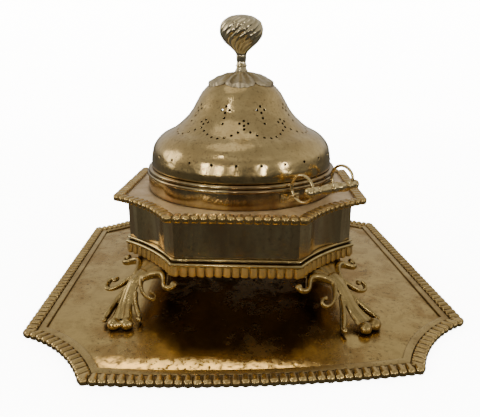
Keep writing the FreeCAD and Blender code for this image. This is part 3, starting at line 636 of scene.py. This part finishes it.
def base_row(kind, count, nodes, seed):
    """Upright ribs under the base moulding."""
    outline = Outline(*BASE)
    chance = random.Random(seed)
    ribs = [(0.0, 0.0), (0.01, 4.6), (3.0, 4.8), (7.0, 5.0), (10.6, 5.2), (12.6, 5.1), (13.8, 4.4),
            (14.3, 3.2), (14.45, 0.0)]
    for node, turn in zip(nodes, QUARTERS):
        parts = []
        for (x, y), (dx, dy) in lobe_places(outline, kind, count, 0.0):
            start = (x - dx * 5.3, y - dy * 5.3, 75.5)
            lean = chance.uniform(-0.02, 0.02)
            line = [(d, r * chance.uniform(0.99, 1.02)) for d, r in ribs]
            parts.append(tear(start, (lean * dy, -lean * dx, -1.0), line, 1.0, 61.0, 3.2))
        profile = [(3.4, 63.0), (3.4, 75.5), (8.0, 75.5), (8.0, 63.0)]
        parts.append(sweep(outline, kind, profile, 24 if kind == "arc" else 8))
        verts, faces = merge(parts)
        make("ribs_" + node, turned(verts, turn), faces, "stand", RIB_BRASS, (node,),
             50.0)


base_row("side", 15, ["base_lobes_" + s for s in SIDES], 15)
base_row("arc", 11, ["base_corner_lobes_" + c for c in CORNERS], 16)


# Tray band, base moulding and walls

def band_profile():
    inner = 10.0 + 5.25 + 0.6
    low, high = 2.0, 4.6
    return [(inner, low), (inner, high - 0.7), (inner + 0.35, high - 0.15), (inner + 1.0, high),
            (inner + 4.5, high + 0.0), (inner + 8.0, high), (inner + 8.65, high - 0.15),
            (inner + 9.0, high - 0.7), (inner + 9.0, low)]


for index in range(4):
    for kind, names, stem in (("side", SIDES, "tray_band_"), ("arc", CORNERS, "tray_corner_band_")):
        node = stem + names[index]
        bow = TRAY_BOW if node == "tray_band_front" else 0.0
        verts, faces = sweep(Outline(*TRAY, bow), kind, band_profile(), 24)
        make("flat_" + node, turned(verts, TRAY_TURNS[index]), faces, "tray",
             BAND_BRASS, (node,), 60.0)

MOULDING = curve_through([(2.6, 75.5), (0.8, 76.0), (0.0, 77.6), (0.3, 79.2), (1.6, 80.3)], 4)
MOULDING += curve_through([(3.4, 80.4), (5.2, 81.1), (5.8, 82.4), (4.4, 83.5)], 4)
MOULDING += [(2.6, 83.7), (2.1, 84.2), (2.1, 84.9), (2.6, 85.5), (9.5, 85.5), (9.5, 77.5),
             (26.0, 77.5), (26.0, 75.5)]
verts, faces = sweep_ring(Outline(*BASE), MOULDING, 6, 20)
make("moulding", verts, faces, "stand", MOULD_BRASS, ("base_moulding",), 50.0)


def wall_line(half, straight, strip, sagitta, thick):
    """Wall outline for one quarter: side, flat strip, hollow arc, flat strip."""
    run = strip / math.sqrt(2)
    chord = (half - straight) / math.sqrt(2) - strip
    radius = (chord ** 2 + sagitta ** 2) / (2 * sagitta)
    shift = thick * (math.sqrt(2) - 1)
    half, straight, radius = half - thick, straight - shift, radius + thick
    start = Vector((straight + run, -half + run))
    end = Vector((half - run, -straight - run))
    half_chord = (end - start).length / 2
    depth = math.sqrt(radius ** 2 - half_chord ** 2)
    centre = (start + end) / 2 + Vector((1, -1)).normalized() * depth
    a = math.atan2(start.y - centre.y, start.x - centre.x)
    b = math.atan2(end.y - centre.y, end.x - centre.x)
    line = [(-straight, -half), (straight, -half)]
    for i in range(17):
        angle = a + (b - a) * i / 16
        line.append((centre.x + radius * math.cos(angle), centre.y + radius * math.sin(angle)))
    return line


def make_walls():
    rings = []
    for thick, z in ((0.0, 85.5), (0.0, 142.5), (1.5, 142.5), (1.5, 85.5)):
        line = wall_line(156.0, 79.0, 22.0, 8.0, thick)
        ring = []
        for q in QUARTERS:
            ring.extend(turned([(x, y, z) for x, y in line], q))
        rings.append(ring)
    count = len(rings[0])
    verts = [p for ring in rings for p in ring]
    faces = []
    for i in range(4):
        a, b = i * count, ((i + 1) % 4) * count
        for j in range(count):
            k = (j + 1) % count
            faces.append((a + j, a + k, b + k, b + j))
    walls = make("walls", verts, faces, "stand", WALL_BRASS, ("stand_walls",), 20.0)
    soften = walls.modifiers.new("soften", "BEVEL")
    soften.width = 0.7 * MM
    soften.segments = 3
    soften.limit_method = "ANGLE"
    soften.angle_limit = math.radians(20)
    soften.harden_normals = True


make_walls()


# Legs

def tube(stations, hint, steps=6, sides=20, ribs=0.0):
    """Solid along stations (u, v, z, half width, half thickness), with flat capped ends."""
    line = curve_through(stations, steps)
    verts, rows = [], []
    count = len(line)
    for i, (u, v, z, wide, thick) in enumerate(line):
        before, after = line[max(i - 1, 0)], line[min(i + 1, count - 1)]
        along = (Vector(after[:3]) - Vector(before[:3])).normalized()
        up = along.cross(hint).normalized()
        across = up.cross(along).normalized()
        row = []
        for j in range(sides):
            angle = 2 * math.pi * j / sides
            x, y = math.cos(angle), math.sin(angle)
            lift = ribs * (0.5 + 0.5 * math.cos(3 * math.pi * x)) if y > 0 else 0.0
            p = Vector((u, v, z)) + across * (wide * x) + up * (thick * y + lift * abs(y))
            row.append(len(verts))
            verts.append(tuple(p))
        rows.append(row)
    faces = []
    for a, b in zip(rows, rows[1:]):
        for j in range(sides):
            k = (j + 1) % sides
            faces.append((a[j], a[k], b[k], b[j]))
    for row, place, flip in ((rows[0], line[0], True), (rows[-1], line[-1], False)):
        tip = len(verts)
        verts.append(place[:3])
        for j in range(sides):
            k = (j + 1) % sides
            faces.append((row[k], row[j], tip) if flip else (row[j], row[k], tip))
    return verts, faces


def ball(place, radius, sides=16):
    rows = [(radius * math.sin(math.pi * i / 8), -radius * math.cos(math.pi * i / 8))
            for i in range(9)]
    rows[0] = (0.0, -radius)
    rows[-1] = (0.0, radius)
    verts, faces = lathe_mesh(rows, sides, closed=False)
    return [(x + place[0], y + place[1], z + place[2]) for x, y, z in verts], faces


BEND_START, BEND_RUN = 188.0, 40.0


def bent(point, angle):
    """Leg point with its lower part bent sideways by an angle in degrees."""
    u, v, z = point
    reach = u - BEND_START
    if angle == 0.0 or reach <= 0.0:
        return point
    radius = BEND_RUN / math.radians(angle)
    turn = min(reach, BEND_RUN) / radius
    rest = max(reach - BEND_RUN, 0.0)
    x = BEND_START + radius * math.sin(turn) + rest * math.cos(turn) - v * math.sin(turn)
    y = radius * (1 - math.cos(turn)) + rest * math.sin(turn) + v * math.cos(turn)
    return (x, y, z)


SPINE = [(140, 74.0), (148, 67.5), (154, 62.5), (163, 57.4), (169, 54.4), (175, 52.0), (182, 49.0),
         (193, 43.0), (203, 33.0), (213, 22.4), (225, 14.0), (236, 10.6), (248, 10.4), (262, 10.4)]


def spine_height(u, v=0.0):
    """Middle height of the leg's sheet, which droops a little towards its sides."""
    for (a, low), (b, high) in zip(SPINE, SPINE[1:]):
        if a <= u <= b:
            return low + (high - low) * (u - a) / (b - a) - 0.0012 * v * v
    return SPINE[-1][1]


def strap(path, side, lift=0.0, flat=0.72):
    """Scroll or leaf in the leg's sheet, from (u, v, half width) points, set at the sheet's middle
    height.
    """
    stations = [(u, side * v, spine_height(u, v) + lift, w, w * flat) for u, v, w in path]
    return tube(stations, Vector((0.55, 0, 1)), 6, 22)


def leg_parts(splay):
    """Solids that melt into one cast leg on the +X axis; splay spreads its leaf at side -1."""
    toe_z = 2.1 + 7.0 - 0.6
    parts = []
    panel = [(148, 67.0, 22, 4.4), (154, 62.6, 34, 3.6), (159, 59.6, 41, 3.0), (164, 56.8, 41, 2.8),
             (169, 54.4, 34, 2.8), (174, 52.4, 27, 3.0), (180, 49.8, 18, 3.2), (187, 46.4, 13, 3.4),
             (196, 40.4, 11, 3.6)]
    for side in (-1, 1):
        leaves = [(0, 3.0, 10.5), (14, 2.6, 9.0), (27, 2.2, 7.5)]
        for offset, thick, wide in leaves:
            path = [(150, offset * 0.95, 66.2), (156, offset * 1.1, 61.6), (163, offset * 1.05, 57.6),
                    (171, offset * 0.72, 53.9), (180, offset * 0.40, 50.2), (189, offset * 0.22, 45.6),
                    (198, offset * 0.10, 38.6)]
            sizes = [0.9, 1.0, 0.95, 0.75, 0.5, 0.36, 0.26]
            stations = [(u, side * v, z - 0.0012 * v * v + 1.0, wide * k, thick * (0.5 + 0.5 * k))
                        for (u, v, z), k in zip(path, sizes)]
            parts.append(tube(stations, Vector((0, 1, 0)), 8, 40))
    parts.append(tube([(u, 0, z, w, t) for u, z, w, t in panel], Vector((0, 1, 0)), 8, 72))
    stem = [(178, 0, 51.0, 10, 4.4), (187, 0, 46.6, 9.8, 4.4), (196, 0, 40.6, 9.4, 4.3),
            (204, 0, 32.2, 9.2, 4.2), (212, 0, 23.6, 9.4, 4.2), (220, 0, 17.0, 10.4, 4.0),
            (228, 0, 13.0, 12.0, 3.6), (235, 0, 10.8, 13.4, 3.2), (241, 0, 9.0, 13.0, 2.8)]
    parts.append(tube(stem, Vector((0, 1, 0)), 8, 64, 0.9))
    roll = [(248, -15.8, toe_z, 3.6, 3.6), (248, -12.5, toe_z, 6.6, 6.6),
            (248, -8.0, toe_z, 8.0, 8.0), (248, -3.5, toe_z, 6.6, 6.6), (248, 0.0, toe_z, 4.4, 4.4),
            (248, 3.5, toe_z, 6.6, 6.6), (248, 8.0, toe_z, 8.0, 8.0), (248, 12.5, toe_z, 6.6, 6.6),
            (248, 15.8, toe_z, 3.6, 3.6)]
    parts.append(tube(roll, Vector((0, 0, 1)), 6, 32))
    arch = [(188, 8, 4.6), (183, 11, 5.6), (177, 15.5, 6.4), (171.0, 24, 7.0), (169.5, 33, 6.6),
            (173.5, 41, 5.4), (178, 47, 4.8), (179.5, 53, 4.5), (175.5, 57.8, 4.3), (170, 57.6, 4.0)]
    hook = [(188, 8, 4.2), (195, 13, 4.6), (200.5, 18.5, 4.3), (204.5, 25.5, 3.8), (206, 33, 3.5),
            (204.8, 39.5, 3.4), (200.6, 42.8, 3.3), (197.6, 39, 3.1), (198.2, 32.5, 2.9)]
    foot = [(202, 9, 4.2), (211, 12.5, 5.6), (220, 16.5, 6.6), (229, 20.0, 6.4), (236, 22.5, 4.6),
            (240, 21.5, 3.2)]
    for side in (-1, 1):
        parts.append(strap(arch, side, 0.6))
        parts.append(strap(hook, side))
        spread = splay if side < 0 else 1.0
        wide = [(u, v * (1 + (spread - 1) * (u - 206) / 34), w) for u, v, w in foot]
        parts.append(strap(wide, side, -1.2, 0.6))
        parts.append(ball((170.6, side * 57.4, spine_height(170.6, 57.4) + 1.0), 5.0))
        parts.append(ball((198.2, side * 34.0, spine_height(198.2, 34.0) + 0.4), 3.6))
        tip = 21.5 * spread
        parts.append(ball((239.5, side * tip, spine_height(239.5, tip) - 0.4), 3.5))
    pad = [(140.5, 0, 68.5, 10, 6.0), (148, 0, 68.5, 11, 6.0), (153, 0, 68.0, 11, 6.0)]
    parts.append(tube(pad, Vector((0, 1, 0)), 4, 24))
    return parts


def cast_leg(angle, splay=1.0):
    """One leg melted together, bent and cut off at the tray and at the base."""
    verts, faces = merge(leg_parts(splay))
    mesh = bpy.data.meshes.new("leg_cast")
    placed = [bent(p, angle) for p in verts]
    mesh.from_pydata([(x * MM, y * MM, z * MM) for x, y, z in placed], [], faces)
    work = bpy.data.objects.new("leg_work", mesh)
    bpy.context.scene.collection.objects.link(work)
    voxel = work.modifiers.new("voxel", "REMESH")
    voxel.mode = "VOXEL"
    voxel.voxel_size = 0.7 * MM
    ease = work.modifiers.new("ease", "SMOOTH")
    ease.factor = 0.5
    ease.iterations = 10
    graph = bpy.context.evaluated_depsgraph_get()
    cast = bpy.data.meshes.new_from_object(work.evaluated_get(graph))
    bpy.data.objects.remove(work)
    for v in cast.vertices:
        v.co.z = min(max(v.co.z, 2.1 * MM), 75.5 * MM)
    cast.polygons.foreach_set("use_smooth", [True] * len(cast.polygons))
    cast.materials.clear()
    cast.materials.append(LEG_BRASS)
    return cast


def make_legs():
    upright = cast_leg(0.0)
    casts = {"front_left": cast_leg(50.0), "front_right": cast_leg(-11.0, 1.6)}
    for index, place in enumerate(CORNERS):
        shape = casts.get(place, upright).copy()
        shape.transform(Matrix.Rotation(math.radians(-45 + 90 * index), 4, "Z"))
        piece = bpy.data.objects.new("leaf_leg_" + place, shape)
        bpy.context.scene.collection.objects.link(piece)
        settle(piece, "stand", ("leg_" + place,))


make_legs()


# Bowl

def ripple(size, seed):
    """Small uneven waves of a hand-raised round wall, in millimetres."""
    def wave(angle, z):
        place = Vector((math.cos(angle) * 2.2, math.sin(angle) * 2.2, z * 0.02 + seed))
        return size * noise.noise(place)
    return wave


verts, faces = lathe_mesh([(131.8, 144.1), (139.3, 144.1), (139.5, 144.4), (139.4, 150.0),
                           (139.5, 158.0), (139.4, 165.8), (138.0, 165.8), (138.0, 145.6),
                           (131.8, 145.6)], 288, True, ripple(0.25, 1.0))
make("drum", verts, faces, "bowl", BOWL_BRASS, ("bowl_collar",), 35.0)

LIP = [(136.5, 165.8), (138.9, 165.8)]
LIP += [(138.9 + 2.1 * math.sin(math.pi * i / 12), 168.4 - 2.6 * math.cos(math.pi * i / 12))
        for i in range(1, 12)]
LIP += [(138.9, 171.0), (136.5, 171.0)]
verts, faces = lathe_mesh(LIP, 288)
make("lip", verts, faces, "bowl", BOWL_BRASS, ("collar_lip",), 45.0)

dress("lug_rivets", SCREW_BRASS)
dress("handle_lug_front", HANDLE_BRASS)
dress("handle_lug_back", HANDLE_BRASS)


# Handle

def handle_frame():
    a = math.radians(HANDLE_AZIMUTH)
    return Vector((math.sin(a), -math.cos(a), 0)), Vector((math.cos(a), math.sin(a), 0))


HANDLE_OUT, HANDLE_ALONG = handle_frame()


def make_rings():
    for side, place in ((-1, "front"), (1, "back")):
        centre = HANDLE_OUT * 156.0 + HANDLE_ALONG * (41.6 * side) + Vector((0, 0, 174.3))
        verts = []
        rows, sides = 72, 16
        for i in range(rows):
            angle = 2 * math.pi * i / rows
            out = HANDLE_OUT * math.cos(angle) + Vector((0, 0, 1)) * math.sin(angle)
            wire = 2.1 + 0.10 * noise.noise(Vector((math.cos(angle) * 2, math.sin(angle) * 2, side)))
            for j in range(sides):
                turn = 2 * math.pi * j / sides
                p = centre + out * (17.0 + wire * math.cos(turn)) + HANDLE_ALONG * (wire * math.sin(turn))
                verts.append(tuple(p))
        faces = []
        for i in range(rows):
            for j in range(sides):
                a, b = i * sides, ((i + 1) % rows) * sides
                k = (j + 1) % sides
                faces.append((a + j, b + j, b + k, a + k))
        make("ring_" + place, verts, faces, "handle", HANDLE_BRASS,
             ("handle_ring_" + place,))


make_rings()

GRIP = [(6.4, 0.0), (6.4, 2.0), (6.4, 4.2), (4.4, 5.6), (4.3, 7.0), (5.4, 9.5), (6.5, 12.5),
        (6.0, 16.0), (5.8, 19.5), (5.0, 23.0), (4.2, 26.8), (4.0, 29.2), (4.2, 30.2), (5.6, 31.2),
        (5.8, 32.2), (5.6, 33.2), (4.4, 34.2), (4.6, 35.4), (5.6, 37.2), (5.7, 41.0), (5.6, 44.4),
        (4.3, 45.4), (4.2, 46.4), (5.6, 47.4), (6.2, 49.2), (5.9, 51.0), (4.6, 52.4), (2.8, 53.3),
        (0.0, 53.6)]


def make_grip():
    """Turned grip through both rings, a little lower on the back one."""
    half = curve_through(GRIP, 3)
    line = [(r, -s) for r, s in reversed(half)] + half[1:]
    line[0] = (0.0, -53.6)
    line[-1] = (0.0, 53.6)
    verts, faces = lathe_mesh([(max(r, 0.0), s) for r, s in line], 48, closed=False)
    up = Vector((0, 0, 1))
    holds = []
    for side, angle in ((-1, 0.0), (1, math.radians(-20.7))):
        holds.append(HANDLE_OUT * (156.0 + 17.0 * math.cos(angle)) + HANDLE_ALONG * (41.6 * side)
                     + up * (174.3 + 17.0 * math.sin(angle)))
    centre = (holds[0] + holds[1]) / 2
    along = (holds[1] - holds[0]).normalized()
    out = (HANDLE_OUT - along * HANDLE_OUT.dot(along)).normalized()
    rise = along.cross(out)
    placed = [tuple(centre + along * z + out * x + rise * y) for x, y, z in verts]
    make("grip", placed, faces, "handle", HANDLE_BRASS, ("handle_grip",), 60.0)


make_grip()


# Lid

RIM = [(132.4, 162.0), (134.0, 162.0), (134.0, 171.1), (137.5, 171.1)]
RIM += [(137.5 + 1.8 * math.sin(math.pi * i / 12), 173.65 - 2.55 * math.cos(math.pi * i / 12))
        for i in range(1, 12)]
RIM += [(137.5, 176.2), (132.4, 176.2)]
verts, faces = lathe_mesh(RIM, 288)
make("lid_bead", verts, faces, "lid", BOWL_BRASS, ("lid_rim",), 45.0)

DOME = [(133.6, 176.2), (133.8, 183.0), (133.3, 190.0), (129.0, 207.5), (117.0, 221.6),
        (97.5, 232.4), (81.0, 246.4), (71.5, 258.0), (64.5, 270.0), (56.0, 283.4), (44.0, 294.0),
        (26.0, 301.0), (12.0, 302.6)]


HOLE = 1.9


def pierced_places():
    """(azimuth, height) of each hole: belly row, and nine swags with knots and flowers over them."""
    places = [(360.0 / 26 * i - 0.4, 200.0) for i in range(26)]
    for i in range(9):
        knot = 40.0 * i + 4.7
        places += [(knot, 249.2), (knot - 4.1, 246.2), (knot + 4.1, 246.2), (knot, 243.8),
                   (knot, 239.6)]
        for j in range(7):
            places.append((knot + 5.0 + 5.0 * j, 236.4 - 6.9 * math.sin(math.pi * j / 6)))
        flower = knot - 20.0
        places += [(flower, 266.6), (flower - 4.5, 262.2), (flower + 4.5, 262.2),
                   (flower, 258.6), (flower, 252.2), (flower, 245.4)]
    return places


def dome_rows():
    """(r, z, length) rows up the dome, closer together where it is pierced."""
    fine = curve_through(DOME, 60)
    length = 0.0
    rows = [(fine[0][0], fine[0][1], 0.0)]
    at = 0.0
    for (r0, z0), (r1, z1) in zip(fine, fine[1:]):
        length += math.hypot(r1 - r0, z1 - z0)
        pierced = 196.5 < z1 < 203.5 or 227.0 < z1 < 269.5
        if length - at >= (0.8 if pierced else 2.4):
            rows.append((r1, z1, length))
            at = length
    rows.append((fine[-1][0], fine[-1][1], length))
    return rows


def dome_marks(rows):
    """(angle, length up the outline, radius, height) of each hole's middle."""
    marks = []
    for azimuth, height in pierced_places():
        for (r0, z0, l0), (r1, z1, l1) in zip(rows, rows[1:]):
            if z0 <= height < z1:
                share = (height - z0) / (z1 - z0)
                marks.append((math.radians(azimuth - 90) % (2 * math.pi), l0 + (l1 - l0) * share,
                              r0 + (r1 - r0) * share, height))
                break
    return marks


def snap_to_holes(rows, columns, marks):
    """Grid of [angle, length] with the vertices round each hole moved onto its rim."""
    step = 2 * math.pi / columns
    flat = [[step * j, row[2]] for row in rows for j in range(columns)]
    for angle, length, radius, _ in marks:
        middle = round(angle / step)
        span = int(3.4 / (radius * step)) + 2
        for i, row in enumerate(rows):
            up = row[2] - length
            if abs(up) > 3.4:
                continue
            for j in range(middle - span, middle + span + 1):
                across = (j * step - angle) * radius
                distance = math.hypot(across, up)
                if HOLE * 0.45 < distance < HOLE + 0.55:
                    scale = HOLE / distance
                    flat[i * columns + j % columns] = [angle + across * scale / radius,
                                                       length + up * scale]
    return flat


def make_dome():
    """Thin raised dome with its pierced holes and small dents."""
    rows = dome_rows()
    columns = 900
    marks = dome_marks(rows)
    lengths = [row[2] for row in rows]
    dent = 0.25
    verts = []
    for index, (angle, length) in enumerate(snap_to_holes(rows, columns, marks)):
        low = max(index // columns - 2, 0)
        while low < len(lengths) - 2 and lengths[low + 1] < length:
            low += 1
        share = (length - lengths[low]) / (lengths[low + 1] - lengths[low])
        r = rows[low][0] + (rows[low + 1][0] - rows[low][0]) * share
        z = rows[low][1] + (rows[low + 1][1] - rows[low][1]) * share
        x, y = math.cos(angle), math.sin(angle)
        r += dent * (noise.noise(Vector((x * r * 0.022, y * r * 0.022, z * 0.022))) - 1)
        verts.append((r * x, r * y, z))
    cells = {}
    for angle, _, radius, height in marks:
        middle = (radius * math.cos(angle), radius * math.sin(angle), height)
        for i in range(27):
            key = tuple(int(c // 6) + n for c, n in zip(middle, (i % 3 - 1, i // 3 % 3 - 1, i // 9 - 1)))
            cells.setdefault(key, []).append(middle)
    faces = []
    for face in grid_faces(len(rows), columns):
        centre = tuple(sum(verts[k][axis] for k in face) / 4 for axis in range(3))
        near = cells.get(tuple(int(c // 6) for c in centre), ())
        if all(math.dist(middle, centre) > HOLE * 0.93 for middle in near):
            faces.append(face)
    crown = len(verts)
    verts.append((0.0, 0.0, rows[-1][1]))
    last = (len(rows) - 1) * columns
    faces += [(last + j, last + (j + 1) % columns, crown) for j in range(columns)]
    used = sorted({k for face in faces for k in face})
    fresh = {k: i for i, k in enumerate(used)}
    verts = [verts[k] for k in used]
    faces = [tuple(fresh[k] for k in face) for face in faces]
    dome = make("dome", verts, faces, "lid", DOME_BRASS, ("lid_dome",), 60.0)
    wall = dome.modifiers.new("wall", "SOLIDIFY")
    wall.thickness = 1.2 * MM
    wall.offset = -1.0


make_dome()


def crown_height(radius):
    """Height of the dome's outside over a radius near its crown."""
    line = [(r, z) for r, z in reversed(curve_through(DOME, 30)) if z > 276.0]
    for (r0, z0), (r1, z1) in zip(line, line[1:]):
        if r0 <= radius <= r1:
            return z0 + (z1 - z0) * (radius - r0) / (r1 - r0)
    return line[0][1]


def make_rosette():
    """Six cast leaves in one thick cap that hugs the crown, with turned-up tips."""
    rings, columns = 44, 540
    cap = curve_through([(3.1, 310.2), (9.6, 310.2), (14, 309.3), (20, 308.3), (27, 306.4),
                         (34, 303.6), (40, 300.4), (45, 297.0), (49, 293.4), (52, 290.0)], 12)
    top, bottom = [], []
    for i in range(rings + 1):
        s = i / rings
        for j in range(columns):
            angle = 2 * math.pi * j / columns
            leaf = abs(math.cos(3 * (angle - math.pi / 6)))
            scallop = abs(math.cos(15 * (angle - math.pi / 6)))
            reach = 40.5 + 8.5 * leaf ** 0.55 + 0.9 * scallop
            r = 3.1 + (reach - 3.1) * s
            z = cap[0][1]
            for (r0, z0), (r1, z1) in zip(cap, cap[1:]):
                if r0 <= r <= r1:
                    z = z0 + (z1 - z0) * (r - r0) / max(r1 - r0, 1e-6)
                    break
            body = min(1.0, max(0.0, (r - 11.0) / 9.0))
            z += body * (0.9 * math.cos(18 * (angle - math.pi / 6)) * (0.4 + 0.6 * s))
            z -= body * 1.6 * (1 - leaf) ** 2
            spot = Vector((math.cos(angle) * r * 0.16, math.sin(angle) * r * 0.16, 3.0))
            z += body * 0.9 * noise.noise(spot)
            z += 3.4 * max(0.0, (s - 0.82) / 0.18) ** 2 * leaf ** 2
            top.append((r * math.cos(angle), r * math.sin(angle), z))
            under = crown_table[min(int(r * 4), len(crown_table) - 1)]
            bottom.append((r * math.cos(angle), r * math.sin(angle), min(under, z - 0.6)))
    verts = top + bottom
    faces = [tuple(reversed(f)) for f in grid_faces(rings + 1, columns)]
    shift = len(top)
    faces += grid_faces(rings + 1, columns, True, shift)
    for row in (0, rings):
        for j in range(columns):
            a, b = row * columns + j, row * columns + (j + 1) % columns
            quad = (a, b, b + shift, a + shift)
            faces.append(quad if row == 0 else tuple(reversed(quad)))
    make("leaf_rosette", verts, faces, "lid", CAST_BRASS, ("rosette",), 70.0)


crown_table = [crown_height(i / 4) for i in range(4 * 55)]
make_rosette()

STEM = [(0.0, 292.0), (3.0, 292.0), (3.0, 309.8), (9.4, 309.8), (9.6, 310.4), (9.4, 311.6),
        (8.0, 313.2), (7.0, 316.0), (7.3, 316.8), (8.2, 317.4), (8.3, 318.2), (8.0, 319.0),
        (7.1, 319.8), (6.7, 322.2), (6.8, 324.6), (7.2, 325.6), (7.2, 331.9), (3.2, 332.0),
        (3.2, 341.0), (0.0, 341.0)]
verts, faces = lathe_mesh(STEM, 96, closed=False)
make("stem", verts, faces, "lid", KNOB_BRASS, ("finial_stem",), 35.0)

KNOB = [(7.2, 0.0), (8.0, 2.4), (10.6, 6.0), (18.6, 13.0), (26.4, 20.5), (30.3, 28.6),
        (30.7, 35.0), (27.4, 44.4), (16.8, 51.4), (6.0, 53.6), (0.0, 54.0)]


def make_knob():
    """Round knob with convex spiral flutes that rise to the right."""
    line = curve_through(KNOB, 12)
    columns, flutes, twist = 420, 14, math.radians(135)
    verts, rows = [], []
    for r, h in line:
        if r < 0.05:
            rows.append([len(verts)])
            verts.append((0.0, 0.0, 386.0))
            continue
        row = []
        depth = 1.5 * min(1.0, max(0.0, (r - 7.4) / 8.0))
        for j in range(columns):
            angle = 2 * math.pi * j / columns
            phase = flutes * (angle - twist * h / 54.0) / 2
            crest = abs(math.sin(phase)) ** 0.75
            radius = r - depth * (1 - crest)
            row.append(len(verts))
            verts.append((radius * math.cos(angle), radius * math.sin(angle), 332.0 + h))
        rows.append(row)
    faces = []
    for a, b in zip(rows, rows[1:]):
        for j in range(columns):
            k = (j + 1) % columns
            faces.append((a[j], a[k], b[0]) if len(b) == 1 else (a[j], a[k], b[k], b[j]))
    foot = len(verts)
    verts.append((0.0, 0.0, 332.0))
    faces += [(foot, (j + 1) % columns, j) for j in range(columns)]
    make("knob", verts, faces, "lid", KNOB_BRASS, ("finial_knob",), 75.0)


make_knob()
